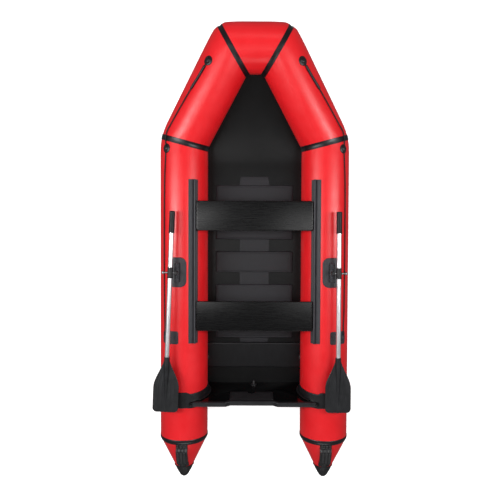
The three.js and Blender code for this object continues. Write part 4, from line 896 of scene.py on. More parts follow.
def floor_height(y):
    """The floor's lower face: level, then rising as the power 1.7 of the share of the way to the bow tube."""
    share = np.clip((y - FLOOR_RISE_Y) / (FLOOR_END_Y - FLOOR_RISE_Y), 0, None)
    return FLOOR_LOW + (FLOOR_END_Z - FLOOR_LOW) * share**1.7


def reach_to(corner, along, y, z):
    """Half the width between two tubes: where the level line at y, z first meets the tube's cylinder."""
    from_corner = np.stack([np.full_like(y, -corner[0]), y - corner[1], z - corner[2]], -1)
    across = vec(1, 0, 0) - along * along[0]
    level = from_corner - (from_corner @ along)[:, None] * along
    a, b = across @ across, level @ across
    c = np.sum(level * level, 1) - (TUBE_RADIUS - 0.3 * MM) ** 2
    return (-b - np.sqrt(np.maximum(0, b * b - a * c))) / a


def floor_half(y, z):
    """Half the floor's width: the lesser of the reaches to the side tube and to the slanting one."""
    return np.minimum(reach_to(STERN, SIDE_AXES[0], y, z), reach_to(SHOULDER, QUARTER_AXES[0], y, z))


def floor_fabric():
    """The bottom: level aft, rising to the bow tube as a power curve, and slack by a millimetre or two in
    long waves between the tubes."""
    back = TRANSOM_FOOT_Y - TRANSOM_THICK
    front = FLOOR_END_Y - 2 * MM
    y = np.concatenate([np.linspace(back, FLOOR_RISE_Y, 70)[:-1], np.linspace(FLOOR_RISE_Y, front, 60)])
    low = floor_height(y)
    u = np.linspace(-1, 1, 41)
    rows = []
    for rise in (FLOOR_THICK, 0):
        half = floor_half(y, low + rise)
        x = half[:, None] * u
        waves = np.sin(9 * y[:, None] + 2) * np.sin(7 * x + 1.2)
        slack = 1.6 * MM * waves * (1 - u**2) * smooth((y[:, None] - 0.45) / 0.2)
        z = (low + rise)[:, None] + slack
        rows.append(np.stack([x, np.broadcast_to(y[:, None], x.shape), z], -1))
    rings = np.concatenate([rows[0], rows[1][:, ::-1]], axis=1)
    made = mapped_piece("floor_bottom_fabric", [rings], FLOOR_FABRIC, ends="capped",
                        replaces=["floor_fabric"], slot="floor_fabric")
    half = floor_half(y, low)


floor_fabric()


def rectangle(from_x, to_x, from_y, to_y, corner, steps=6):
    """The outline of a rectangle whose corners are quarter circles, anticlockwise from its lower left."""
    box = [(from_x, from_y), (to_x, from_y), (to_x, to_y), (from_x, to_y)]
    out = []
    for k, (cx, cy) in enumerate(box):
        sx, sy = (1 if cx == from_x else -1), (1 if cy == from_y else -1)
        turn = np.radians(np.linspace(180 + 90 * k, 270 + 90 * k, steps + 1))
        centre = vec(cx + sx * corner, cy + sy * corner)
        out.append(centre + corner * np.stack([np.cos(turn), np.sin(turn)], -1))
    return np.concatenate(out)


def slat(index):
    """One floor slat in its fabric sleeve: the face is crowned a little and dips along two welded lines
    beside the long edges."""
    node = f"floor_slat_{index}"
    low, high = corners_of(node)
    half = vec(high[0] - low[0], high[1] - low[1]) / 2
    middle = (low + high) / 2

    def relief(x, y):
        weld = np.exp(-(((np.abs(y) - (half[1] - 13 * MM)) / (1.6 * MM)) ** 2))
        crown = 1.0 * MM * (1 - (y / half[1]) ** 2)
        return crown - 1.4 * MM * weld

    top = slab(half[0], half[1], 12 * MM, SLAT_THICK - 1 * MM, 5 * MM, (30, 60), relief)
    placed = top + vec(middle[0], middle[1], low[2])
    piece(f"{node}_sleeved", [lofted(placed, "shut")], SLEEVE_FABRIC, replaces=[node], slot="floor_board")


for number in range(1, 6):
    slat(number)


def flat_board(name, node, material, slot, corner, edge, relief=None, count=(20, 20)):
    """A rounded slab that fills its solid's box."""
    low, high = corners_of(node)
    half, middle = (high - low) / 2, (low + high) / 2
    rings = slab(half[0], half[1], corner, high[2] - low[2], edge, count, relief)
    rings = rings + vec(middle[0], middle[1], low[2])
    return piece(name, [lofted(rings, "shut")], material, replaces=[node], slot=slot)


web_low, web_high = corners_of("floor_slat_web")
WEB_HALF = (web_high[0] - web_low[0]) / 2


def hem_lines(x, y):
    """Two sewn lines along each side of the strip."""
    lines = sum(np.exp(-(((np.abs(x) - (WEB_HALF - d)) / (1.0 * MM)) ** 2)) for d in (9 * MM, 16 * MM))
    return -0.5 * MM * lines


flat_board("floor_web_strip", "floor_slat_web", SLEEVE_FABRIC, "floor_fabric", 12 * MM, 1.2 * MM,
           hem_lines, (90, 40))
flat_board("floor_stern_board", "floor_stern_panel", FLOOR_BOARD, "floor_board", 12 * MM, 4 * MM)

# ---------------------------------------------------------------- transom

RAKE = math.radians(10)
PLANK_ACROSS, PLANK_UP = vec(1, 0, 0), vec(0, -math.sin(RAKE), math.cos(RAKE))
PLANK_OUT = vec(0, math.cos(RAKE), math.sin(RAKE))
PLANK_FOOT = vec(0, TRANSOM_FOOT_Y, 25.5 * MM + TRANSOM_THICK * math.sin(RAKE))
PLANK_AXES = (PLANK_ACROSS, PLANK_UP, PLANK_OUT)
PLANK_HEIGHT = (CREST + 12 * MM - PLANK_FOOT[2]) / math.cos(RAKE)
TRANSOM_HALF = AXIS_X - (TUBE_RADIUS + SKIN_GAP) * math.sin(math.radians(20.5))
NOTCH_DEPTH, NOTCH_FLOOR, NOTCH_TOP = 20 * MM, 146 * MM, 190 * MM
NOTCH_SHIFT = -17 * MM
HOLDER_THICK = 5 * MM
DRAIN_PLACE = PLANK_FOOT + PLANK_UP * 46 * MM


def top_edge(x):
    """The plank's height at x: level, but lower by the notch's depth, with an S-curve down each end of it."""
    ramp = (NOTCH_TOP - np.abs(x - NOTCH_SHIFT)) / (NOTCH_TOP - NOTCH_FLOOR)
    return PLANK_HEIGHT - NOTCH_DEPTH * smooth(ramp)


def transom_board():
    """The plank: straight foot, hollow sides that follow the holders round the tubes, and a top with a
    shallow notch for the motor; the two veneered faces meet its edges in a small round."""
    clear = TUBE_RADIUS + SKIN_GAP + HOLDER_THICK + 0.4 * MM
    up = np.linspace(0, PLANK_HEIGHT, 60)
    z = PLANK_FOOT[2] + up * math.cos(RAKE)
    drop = z - AXIS_Z
    hollow = AXIS_X - np.sqrt(np.maximum(clear**2 - drop**2, 0))
    side = np.minimum(hollow, TRANSOM_HALF)
    right = np.stack([side, up], -1)
    cross = np.linspace(side[-1], -side[-1], 90)[1:-1]
    crown = np.stack([cross, top_edge(cross)], -1)
    left = right[::-1] * vec(-1, 1)
    outline = np.concatenate([right, crown, left])
    bottom = np.stack([np.linspace(-side[0], side[0], 30)[1:-1], np.zeros(28)], -1)
    outline = np.concatenate([outline, bottom])
    rings = plate(outline, -TRANSOM_THICK, 0, 1.5 * MM, PLANK_AXES, PLANK_FOOT)
    drain = spun(mm((0, -50), (13.1, -50), (13.1, 20), (0, 20)), 40, DRAIN_PLACE, PLANK_OUT)
    top = PLANK_HEIGHT - NOTCH_DEPTH - 30 * MM
    pad = rectangle(NOTCH_SHIFT - 142 * MM, NOTCH_SHIFT + 142 * MM, top - 96 * MM, top, 9 * MM)
    pad = plate(pad, -TRANSOM_THICK - 4 * MM, -TRANSOM_THICK + 1 * MM, 1.2 * MM, PLANK_AXES, PLANK_FOOT)
    plates("transom_plank", [rings, pad], TRANSOM_LACQUER, replaces=["transom_board"], slot="transom_ply",
           holes=[lofted(drain)])


transom_board()


def transom_trim():
    """Edging pushed over the plank's top: a U-shaped section with rolled lips, carried along the top edge."""
    x = np.linspace(-(TRANSOM_HALF - 20 * MM), TRANSOM_HALF - 20 * MM, 160)
    top = top_edge(x)
    wall, deep = 4 * MM, 15 * MM
    front, back = wall, -TRANSOM_THICK - wall
    outer = rounded([(front, -deep), (front, wall), (back, wall), (back, -deep)], 5 * MM, 6)
    gap = 0.3 * MM
    behind = -TRANSOM_THICK - gap
    inner = np.array([(behind, -deep), (behind, gap), (gap, gap), (gap, -deep)])
    section = np.concatenate([outer, inner])
    slope = np.gradient(top, x)
    tangent = np.stack([np.ones_like(slope), slope], -1) / np.hypot(1, slope)[:, None]
    normal = np.stack([-tangent[:, 1], tangent[:, 0]], -1)
    place = np.stack([x, top], -1)
    flat = place[:, None] + section[None, :, 1:] * normal[:, None]
    depth = np.broadcast_to(section[None, :, :1], (len(x), len(section), 1))
    rings = PLANK_FOOT + flat[..., :1] * PLANK_ACROSS + flat[..., 1:] * PLANK_UP + depth * PLANK_OUT
    piece("transom_edging", [lofted(rings)], EDGE_TRIM, replaces=["transom_trim"], slot="edge_trim")


transom_trim()


def on_holder(points, side):
    """Flat points (way round from the crest, depth before the plank's face, height) laid on the side tube,
    with the depth measured square to the raked plank."""
    turn = points[..., 0] / TUBE_RADIUS
    reach = TUBE_RADIUS + points[..., 2]
    x = AXIS_X + reach * np.sin(turn)
    z = AXIS_Z + reach * np.cos(turn)
    y = PLANK_FOOT[1] - (z - PLANK_FOOT[2]) * math.tan(RAKE) + points[..., 1] / math.cos(RAKE)
    return for_side(np.stack([x, y, z], -1), side)


def holder(side):
    """The rubber holder: a strip round the tube's inboard side that widens to a patch on the crest, and the
    two lips that grip the plank. The strip's front and back edges are straight between the corners; its
    height is a quarter ellipse of the distance to the nearest edge."""

    def way(degrees):
        return math.radians(degrees) * TUBE_RADIUS

    start, end = way(-140), way(28)
    corner = math.asin(math.sin(math.radians(28)) - 28 * MM / TUBE_RADIUS) * TUBE_RADIUS
    ways = [start, way(-21), way(-12), corner, end]
    edge = 4 * MM
    near = edge * np.linspace(0, 1, 5)[:-1] ** 2
    girth = np.concatenate([start + near, np.linspace(start + edge, end - edge, 130), end - near[::-1]])
    front = np.interp(girth, ways, np.array([52, 52, 66, 66, 38]) * MM)
    back = np.interp(girth, ways, np.array([-49, -49, -44, -44, -16]) * MM)
    half, centre = (front - back)[:, None] / 2, (front + back)[:, None] / 2
    share = np.sin(np.linspace(-math.pi / 2, math.pi / 2, 33))
    inside = np.minimum(half * (1 - np.abs(share)), np.minimum(girth - start, end - girth)[:, None])
    height = 0.2 * MM + HOLDER_THICK * np.sqrt(1 - (1 - np.clip(inside / edge, 0, 1)) ** 2)
    across = np.broadcast_to(girth[:, None], height.shape)
    top = np.stack([across, centre + half * share, height], -1)
    sole = np.stack([across, centre + half * share, np.full_like(height, 0.2 * MM)], -1)[:, 1:-1][:, ::-1]
    forms = [lofted(on_holder(np.concatenate([top, sole], axis=1), side), "shut")]
    lip_start, lip_end = way(-132), way(-40)
    length, height = (lip_end - lip_start) / 2, 25 * MM
    lip = slab(length, 4 * MM, 3.9 * MM, height, 3.4 * MM, (60, 6), base=1 * MM)
    for depth in (4.4 * MM, -TRANSOM_THICK - 4.4 * MM):
        forms.append(lofted(on_holder(lip + vec((lip_start + lip_end) / 2, depth, 0), side), "shut"))
    piece(f"{side}_plank_holder", forms, RUBBER_BLACK, replaces=[f"{side}_transom_holder"], slot="rubber")


both(holder)


def motor_plate():
    """The pad that the motor's clamps bear on: a moulded plate with a round bite in its lower edge, a
    raised border and fine level ribs."""
    half, height, drop, corner = 156 * MM, 118 * MM, 27 * MM, 9 * MM
    top = PLANK_HEIGHT - NOTCH_DEPTH - drop
    foot = top - height
    bite = 28 * MM
    turn = np.linspace(math.pi, 0, 25)
    lower = np.stack([bite * np.cos(turn), foot + bite * np.sin(turn)], -1)
    box = rectangle(-half, half, foot, top, corner)
    first = len(box) // 4
    outline = np.concatenate([box[:first], lower, box[first:]])
    foot_of_pad = PLANK_FOOT + PLANK_ACROSS * NOTCH_SHIFT
    rings = plate(outline, 0.3 * MM, 4.2 * MM, 1.2 * MM, PLANK_AXES, foot_of_pad)
    ribs = []
    for k in range(7):
        level = top - 12 * MM - k * 13.5 * MM
        reach, clear = half - 12 * MM, bite + 8 * MM
        spans = [(-reach, reach)] if level > foot + bite + 4 * MM else [(-reach, -clear), (clear, reach)]
        for a, b in spans:
            bar = rectangle(a, b, level - 2 * MM, level + 2 * MM, 1.9 * MM, 4)
            ribs.append(plate(bar, 3.8 * MM, 5.4 * MM, 0.8 * MM, PLANK_AXES, foot_of_pad))
    plates("motor_pad", [rings, *ribs], NYLON, replaces=["motor_plate"], slot="moulded_plastic")


motor_plate()


def drain_plug():
    """Turned rubber plug with a gripping stalk, ringed so that wet fingers hold it."""
    shank, head, grip = 12.5 * MM, 22 * MM, 9 * MM
    tail, face, length = -TRANSOM_THICK - 5 * MM, 8.5 * MM, 28 * MM
    rows = [(0, tail), (shank - 2 * MM, tail), (shank, tail + 4 * MM), (shank, 0.3 * MM), (head, 0.3 * MM),
            (head, face - 1.5 * MM), (head - 2.5 * MM, face), (grip + 2 * MM, face), (grip, face + 2 * MM)]
    for k in range(5):
        at = face + 5 * MM + k * 4 * MM
        rows += [(grip, at - 1.2 * MM), (grip + 1 * MM, at), (grip, at + 1.2 * MM)]
    rows += [(grip, face + length - 4 * MM), (grip - 3 * MM, face + length), (0, face + length)]
    rings = spun(rounded(rows, 0.8 * MM, 2), 48, DRAIN_PLACE, PLANK_OUT)
    piece("drain_stopper", [lofted(rings, "shut")], RUBBER_BLACK, "drain_plug",
          replaces=["drain_plug"], slot="rubber")


drain_plug()

# ---------------------------------------------------------------- rails and seats

RAIL_WEB_X = AXIS_X + (TUBE_RADIUS + SKIN_GAP) * math.sin(math.radians(-33))


def rail(side):
    """One extruded section carried along the tube: a pad that tapers to both edges, with fine grooves
    along it, a web, and a round bead that keys the seats. Its two ends are drawn in a little."""
    low, high = corners_of("starboard_seat_rail")
    skin = TUBE_RADIUS + 0.1 * MM
    thick, bead, half = 5 * MM, 7 * MM, 3 * MM
    bead_z = CREST - 3 * MM
    lean = math.radians(-28.5)
    start, end = lean - math.radians(12), lean + math.radians(12)
    angle = np.linspace(end, start, 120)
    edge = np.clip(np.minimum(end - angle, angle - start) * TUBE_RADIUS / (7 * MM), 0, 1)
    groove = 0.5 - 0.5 * np.cos(2 * math.pi * angle * TUBE_RADIUS / (6 * MM))
    face = thick * (0.25 + 0.75 * np.sqrt(edge)) - 0.5 * MM * groove * smooth(edge * 3 - 2)
    pad = np.stack([AXIS_X + (skin + face) * np.sin(angle), AXIS_Z + (skin + face) * np.cos(angle)], -1)
    outer = pad[pad[:, 0] > RAIL_WEB_X + half + 2 * MM]
    inner = pad[pad[:, 0] < RAIL_WEB_X - half - 2 * MM]
    turn = np.radians(np.linspace(-64, 244, 28))
    head = vec(RAIL_WEB_X, bead_z) + bead * np.stack([np.cos(turn), np.sin(turn)], -1)
    under = np.linspace(start, end, 40)
    sole = np.stack([AXIS_X + skin * np.sin(under), AXIS_Z + skin * np.cos(under)], -1)
    foot_out, foot_in = outer[-1] + vec(-2 * MM, 1.5 * MM), inner[0] + vec(2 * MM, 1.5 * MM)
    section = np.concatenate([outer, [foot_out], head, [foot_in], inner, sole])
    y = crowded((high[1] - low[1]) / 2, 3 * MM, 30, 3) + (high[1] + low[1]) / 2
    middle = vec(AXIS_X + skin * math.sin(lean), AXIS_Z + skin * math.cos(lean))
    reach = np.minimum(y - low[1], high[1] - y) / (3 * MM)
    shrink = 1 - 0.06 * (1 - np.sqrt(np.clip(1 - (1 - np.clip(reach, 0, 1)) ** 2, 0, 1)))
    flat = middle + (section - middle)[None] * shrink[:, None, None]
    rings = np.stack([flat[..., 0], np.broadcast_to(y[:, None], flat.shape[:2]), flat[..., 1]], -1)
    piece(f"{side}_rail_extrusion", [lofted(for_side(rings, side))], RUBBER,
          replaces=[f"{side}_seat_rail"], slot="rubber")


both(rail)


def seat(node):
    """A bench: a board with quarter-round edges, and under each end a tongue that hooks below the bead."""
    low, high = corners_of(node)
    bead, space = 7 * MM, 6 * MM
    half_x = RAIL_WEB_X - bead - space
    thickness, corner = 18 * MM, 16 * MM
    top = high[2]
    bottom = top - thickness
    board = plate(rectangle(-half_x, half_x, low[1], high[1], corner, 8), bottom, top, 4.5 * MM, steps=5)
    tip = RAIL_WEB_X - 3 * MM - 0.6 * MM
    root = tip - 26 * MM
    tongue_top = bottom - 4 * MM
    above, below = bottom + 2 * MM, tongue_top - 6 * MM
    hook = [(root, above), (root, below), (tip, below), (tip, tongue_top), (root + 6 * MM, tongue_top),
            (root + 6 * MM, above)]
    lengthwise = (vec(1, 0, 0), vec(0, 0, 1), vec(0, -1, 0))
    tongue = plate(round_outline(hook, 1.5 * MM, 3), corner - high[1], -low[1] - corner, 1 * MM, lengthwise)
    plates(f"{node}_board", [board, *(for_side(tongue, side) for side in SIDES)], SEAT_PAINT,
           body=node, replaces=[node], slot="seat_board")


seat("front_seat")
seat("rear_seat")

# ---------------------------------------------------------------- rowlocks

ROWLOCK_ANGLE, ROWLOCK_Y = 9.75, -97 * MM
ROWLOCK_X = AXIS_X + (TUBE_RADIUS + SKIN_GAP) * math.sin(math.radians(ROWLOCK_ANGLE))
HOUSING_TOP = CREST + 30 * MM
PIN_Z = HOUSING_TOP + 28 * MM


def rowlock_base(side):
    """A moulded pad glued on the tube, and on it the housing of the swivel: a block crossed by ribs, with
    a stepped top."""
    start, end = math.radians(-11.8) * TUBE_RADIUS, math.radians(33.2) * TUBE_RADIUS

    def bead(x, y):
        return 0.9 * MM * np.exp(-(((np.hypot(x * 1.5, y) - 84 * MM) / (2.5 * MM)) ** 2))

    pad = slab((end - start) / 2, 105 * MM, 46 * MM, 5 * MM, 4 * MM, (40, 60), bead, base=0.2 * MM)
    forms = [lofted(for_side(on_side(pad + vec((start + end) / 2, 0, 0), ROWLOCK_Y, 0), side), "shut")]
    wide, long = 17 * MM, 68 * MM
    y = np.linspace(-long, long, 171)
    rib = smooth(0.5 + 1.4 * np.cos(2 * math.pi * y / (15.1 * MM)))
    ends = np.sqrt(np.clip(1 - (1 - np.clip((long - np.abs(y)) / (6 * MM), 0, 1)) ** 2, 0, 1))
    middle = smooth((np.abs(y) - 17 * MM) / (3 * MM))
    reach = wide - (2.2 * MM * (1 - rib) * middle)
    top = HOUSING_TOP - 3.0 * MM * (1 - rib) * middle - 6 * MM * (1 - ends)
    w, t = reach - 5 * MM * (1 - ends), top
    foot = np.full_like(y, CREST - 12 * MM)
    right = [(w, foot), (w, t - 5 * MM), (w - 1.5 * MM, t - 1.5 * MM), (w - 5 * MM, t)]
    x, z = np.array([*right, *((-x, z) for x, z in right[::-1])]).transpose(1, 2, 0)
    lengthwise = np.broadcast_to(y[:, None], x.shape)
    rings = np.stack([x + ROWLOCK_X, lengthwise + ROWLOCK_Y, z], -1)
    forms.append(lofted(for_side(rings, side)))
    top_of_bore = (SIDES[side] * ROWLOCK_X, ROWLOCK_Y, HOUSING_TOP)
    bore = spun(mm((0, -20), (8.6, -20), (8.6, 5), (0, 5)), 32, top_of_bore)
    piece(f"{side}_rowlock_housing", forms, RUBBER, replaces=[f"{side}_rowlock_base"], slot="rubber",
          holes=[lofted(bore)], sharp=30)


both(rowlock_base)

OAR_OFFSET, OAR_YAW = 40 * MM, {"starboard": 0.05, "port": 2.1}
SHAFT_RADIUS = 16 * MM


def on_swivel(points, side):
    """Starboard points drawn round the swivel's axis, put in place: mirrored for port, then turned by the
    oar's yaw about that axis."""
    sign = SIDES[side]
    turn = math.radians(sign * OAR_YAW[side])
    flat = points * vec(sign, 1, 1)
    c, s = math.cos(turn), math.sin(turn)
    x = c * flat[..., 0] - s * flat[..., 1] + sign * ROWLOCK_X
    y = s * flat[..., 0] + c * flat[..., 1] + ROWLOCK_Y
    return np.stack([x, y, flat[..., 2]], -1)


def swivel(side):
    """The swivel: a moulded post with a shouldered head, and the steel pin through it with its washer,
    hexagon nut and rounded end."""
    shelf = HOUSING_TOP + 0.5 * MM
    rows = mm((0, -19.9), (6.5, -19.9), (8, -18.4), (8, 0), (14, 0), (14, 8), (12.6, 10), (12.6, 34),
              (14, 36), (14, 39), (11, 42), (0, 42))
    post = on_swivel(spun(rounded(rows, 1 * MM, 3), 40, (0, 0, shelf)), side)
    piece(f"{side}_swivel_post", [lofted(post, "shut")], NYLON, f"{side}_rowlock",
          replaces=[f"{side}_rowlock_swivel"], slot="moulded_plastic")
    bar = rounded(mm((0, -16.5), (7, -16.5), (8.5, -15.2), (8.5, -13), (6, -13), (6, 96), (4.5, 98), (0, 98)),
                  0.5 * MM, 2)
    washer = mm((6.1, 83), (12, 83), (12, 84.6), (6.1, 84.6))
    nut = mm((0, 85), (10, 85), (11, 86), (11, 93), (10, 94), (0, 94))
    forms = [
        lofted(on_swivel(spun(rows, sides, (0, 0, PIN_Z), (1, 0, 0)), side), ends)
        for rows, sides, ends in ((bar, 32, "shut"), (washer, 36, "joined"), (nut, 6, "shut"))
    ]
    piece(f"{side}_swivel_pin", forms, STEEL, f"{side}_rowlock", slot="steel", sharp=25)


both(swivel)


def pin_hole(side):
    """The hole that the pin goes through, square to the oar."""
    rows = mm((0, 10), (6.6, 10), (6.6, 75), (0, 75))
    return lofted(on_swivel(spun(rows, 24, (0, 0, PIN_Z), (1, 0, 0)), side))


def oar(side):
    """The oar: shaft, collar and grip are profiles turned round the shaft's axis; then the blade."""
    body = f"{side}_oar"
    centre, forward = (OAR_OFFSET, 0, PIN_Z), (0, 1, 0)
    front, back, wall = 415.5 * MM, -652 * MM, 1.6 * MM
    shaft = spun([(SHAFT_RADIUS - wall, back), (SHAFT_RADIUS, back), (SHAFT_RADIUS, front),
                  (SHAFT_RADIUS - wall, front)], 48, centre, forward)
    piece(f"{side}_oar_tube", [lofted(on_swivel(shaft, side), "joined")], ALUMINIUM, body,
          replaces=[f"{side}_oar_shaft"], slot="aluminium", holes=[pin_hole(side)])
    # The collar: a split sleeve with a rolled rim at each end and a waist.
    bore, half = SHAFT_RADIUS + 0.2 * MM, 37.5 * MM
    rim, waist, middle = bore + 3.2 * MM, bore + 2.2 * MM, bore + 3.4 * MM
    near = [(middle, 13 * MM), (waist, 14 * MM), (waist, half - 8 * MM), (rim, half - 7 * MM), (rim, half),
            (bore, half)]
    rows = [*((radius, -at) for radius, at in near[::-1]), *near]
    collar = on_swivel(spun(rows, 48, centre, forward), side)
    piece(f"{side}_oar_sleeve", [lofted(collar, "joined")], NYLON, body,
          replaces=[f"{side}_oar_collar"], slot="moulded_plastic", holes=[pin_hole(side)])
    # The grip: a flanged rubber sleeve, ringed along its length and closed at its end.
    start, end = 274 * MM, 424 * MM
    at = np.linspace(start + 9 * MM, end - 12 * MM, 150)
    ring = 0.9 * MM * (0.5 + 0.5 * np.cos(2 * math.pi * (at - at[0]) / (8 * MM)))
    outer = SHAFT_RADIUS + 2.9 * MM
    skin = np.stack([outer + ring, at], -1)
    head = [(0, end - 8 * MM), (bore, end - 8 * MM), (bore, start), (outer + 2 * MM, start),
            (outer + 2.6 * MM, start + 2 * MM), (outer + 2.4 * MM, start + 6 * MM), (outer, start + 7.5 * MM)]
    nose = [(outer + 0.6 * MM, end - 10 * MM), (outer + 0.8 * MM, end - 6 * MM),
            (outer - 1.5 * MM, end - 1.6 * MM), (outer - 5 * MM, end), (0, end)]
    rows = np.concatenate([head, skin, nose])
    grip = on_swivel(spun(rows, 48, centre, forward), side)
    piece(f"{side}_oar_handgrip", [lofted(grip, "shut")], RUBBER_BLACK, body,
          replaces=[f"{side}_oar_grip"], slot="rubber")
    blade(side, body)


def blade(side, body):
    """A moulded blade as one height over a plan. Its half width swells from the socket as an S; its face is
    the higher of a thin plate with rounded edges, a spine that tapers from the socket to near the tip, and
    four ribs that fan out along it. The back is the same, mirrored."""
    mouth, floor, end = -582 * MM, -652 * MM, -967 * MM
    full, corner, socket = 89 * MM, 30 * MM, SHAFT_RADIUS + 3.6 * MM
    round_end = end + corner * (1 - np.sin(np.radians(np.linspace(0, 90, 14)[1:])))
    y = np.concatenate([[mouth, mouth - 1 * MM, mouth - 3 * MM],
                        np.linspace(mouth - 6 * MM, end + 32 * MM, 110), round_end])
    run = mouth - y
    swell = smooth((run - 18 * MM) / (200 * MM)) ** 0.8
    half = socket + (full - socket) * swell
    past = np.clip(end + corner - y, 0, corner)
    half = half - corner + np.sqrt(np.maximum(corner**2 - past**2, 0))
    u = np.sin(np.linspace(-math.pi / 2, math.pi / 2, 97))
    x = half[:, None] * u
    share = smooth((run - 60 * MM) / (60 * MM))[:, None]
    rim = np.clip((half[:, None] - np.abs(x)) / (3.5 * MM), 0, 1)
    tip = np.clip((y - end) / (3.5 * MM), 0, 1)[:, None]

    def curve(t):
        return np.sqrt(np.clip(1 - (1 - t) ** 2, 0, 1))

    sheet = 3.4 * MM * curve(rim) * curve(tip)
    spine_radius = np.interp(run, [0, 70 * MM, 330 * MM], [socket, socket, 5.5 * MM])[:, None]
    spine = np.sqrt(np.maximum(spine_radius**2 - x**2, 0))
    fade = smooth((run - 110 * MM) / (60 * MM))[:, None] * smooth((370 * MM - run) / (50 * MM))[:, None]
    ribs = sum(np.exp(-(((x - s * half[:, None]) / (2.6 * MM)) ** 2)) for s in (-0.62, -0.33, 0.33, 0.62))
    border = np.exp(-(((half[:, None] - np.abs(x) - 5 * MM) / (2.2 * MM)) ** 2)) * curve(tip)
    height = np.maximum(sheet, spine) + fade * 1.9 * MM * ribs * (spine < 4 * MM) + 0.9 * MM * border * share
    height[:, 0] = height[:, -1] = 0
    height[-1] = 0
    lengthwise = np.broadcast_to(y[:, None], x.shape)
    upper = np.stack([x + OAR_OFFSET, lengthwise, PIN_Z + height], -1)
    lower = np.stack([x + OAR_OFFSET, lengthwise, PIN_Z - height], -1)[:, 1:-1][:, ::-1]
    rings = np.concatenate([upper, lower], axis=1)
    bore, past_mouth = SHAFT_RADIUS + 0.3 * MM, mouth + 9 * MM
    bottom = floor - 0.5 * MM
    room = spun([(0, bottom), (bore, bottom), (bore, past_mouth), (0, past_mouth)], 48,
                (OAR_OFFSET, 0, PIN_Z), (0, 1, 0))
    piece(f"{side}_oar_paddle", [lofted(on_swivel(rings, side))], POLYPROPYLENE, body,
          replaces=[f"{side}_oar_blade"], slot="moulded_plastic", holes=[lofted(on_swivel(room, side))])


both(oar)

# ---------------------------------------------------------------- rope eyes and patches


def eye_form():
    """A round rubber eye lying flat: rings of (across, along, height). A thin skirt, a step, and a domed
    boss; the underside is flat."""
    radius, tall = 33 * MM, 16 * MM
    rows = rounded([(0, tall), (11 * MM, tall), (17 * MM, 13 * MM), (20 * MM, 5.5 * MM), (26 * MM, 4.2 * MM),
                    (31 * MM, 2.4 * MM), (radius, 0.4 * MM)], 4 * MM, 4)
    below = np.array([(radius, 0), (24 * MM, 0), (16 * MM, 0), (8 * MM, 0), (0, 0)])
    profile = np.concatenate([rows, below])
    angle = np.arange(64) / 64 * 2 * math.pi
    flat = np.stack([np.outer(profile[:, 0], np.cos(angle)), np.outer(profile[:, 0], np.sin(angle)),
                     np.repeat(profile[:, 1:], 64, axis=1)], -1)
    return flat


def rope_hole(side, start, end):
    """The hole for the cord, from start to end."""
    axis = end - start
    rows = [(0, 0), (5.4 * MM, 0), (5.4 * MM, np.linalg.norm(axis)), (0, np.linalg.norm(axis))]
    return lofted(for_side(spun(rows, 24, start, axis), side))


def rope_eyes(side):
    """The two eyes that the cord runs through, each bent round its tube with its hole along the tube."""
    flat = eye_form()
    y, angle, hole_height = SHOULDER_Y - 63 * MM, 39.5, 7.5 * MM
    tilt = math.radians(angle)
    normal = vec(math.sin(tilt), 0, math.cos(tilt))
    middle = vec(AXIS_X, y, AXIS_Z) + normal * (TUBE_RADIUS + hole_height)
    hole = rope_hole(side, middle - vec(0, 60 * MM, 0), middle + vec(0, 60 * MM, 0))
    piece(f"{side}_side_eye", [lofted(for_side(on_side(flat, y, angle), side), "shut")], RUBBER_BLACK,
          replaces=[f"{side}_side_rope_eye"], slot="rubber", holes=[hole])
    along = QUARTER_AXES[0]
    level = unit(vec(along[1], -along[0], 0))
    upward = unit(np.cross(level, along))
    centre = SHOULDER + (BOW_CORNER - SHOULDER) * 0.8
    angle = 27
    tilt = math.radians(angle)
    normal = upward * math.cos(tilt) + level * math.sin(tilt)
    middle = centre + normal * (TUBE_RADIUS + hole_height)
    hole = rope_hole(side, middle - along * 60 * MM, middle + along * 60 * MM)
    placed = wrapped(flat, centre, (along, level, upward), angle)
    piece(f"{side}_bow_eye", [lofted(for_side(placed, side), "shut")], RUBBER_BLACK,
          replaces=[f"{side}_bow_rope_eye"], slot="rubber", holes=[hole])


both(rope_eyes)


def rope_patch(side):
    """The after patch: a pad, a knob by its inboard edge, and the block that holds the rope's end."""
    y, half = -558 * MM, 46 * MM
    start, end = math.radians(7) * TUBE_RADIUS, math.radians(50) * TUBE_RADIUS
    pad = slab((end - start) / 2, half, 14 * MM, 4 * MM, 3 * MM, (30, 20), base=0.2 * MM)
    forms = [lofted(for_side(on_side(pad + vec((start + end) / 2, 0, 0), y, 0), side), "shut")]
    knob = np.array([(0, 13), (7, 13), (9, 11), (9, 7), (7.5, 5), (7.5, 2), (0, 2)]) * MM
    tilt = math.radians(11)
    normal = vec(math.sin(tilt), 0, math.cos(tilt))
    knob_form = spun(rounded(knob, 1.2 * MM, 3), 32, vec(AXIS_X, y, AXIS_Z) + normal * TUBE_RADIUS, normal)
    forms.append(lofted(for_side(knob_form, side), "shut"))
    block = slab(11 * MM, 15 * MM, 6 * MM, 14.6 * MM, 4 * MM, (12, 14), base=1 * MM)
    forms.append(lofted(for_side(on_side(block, y, 42), side), "shut"))
    piece(f"{side}_rope_patch_pad", forms, RUBBER, replaces=[f"{side}_rope_patch"], slot="rubber")


both(rope_patch)

# ---------------------------------------------------------------- valves


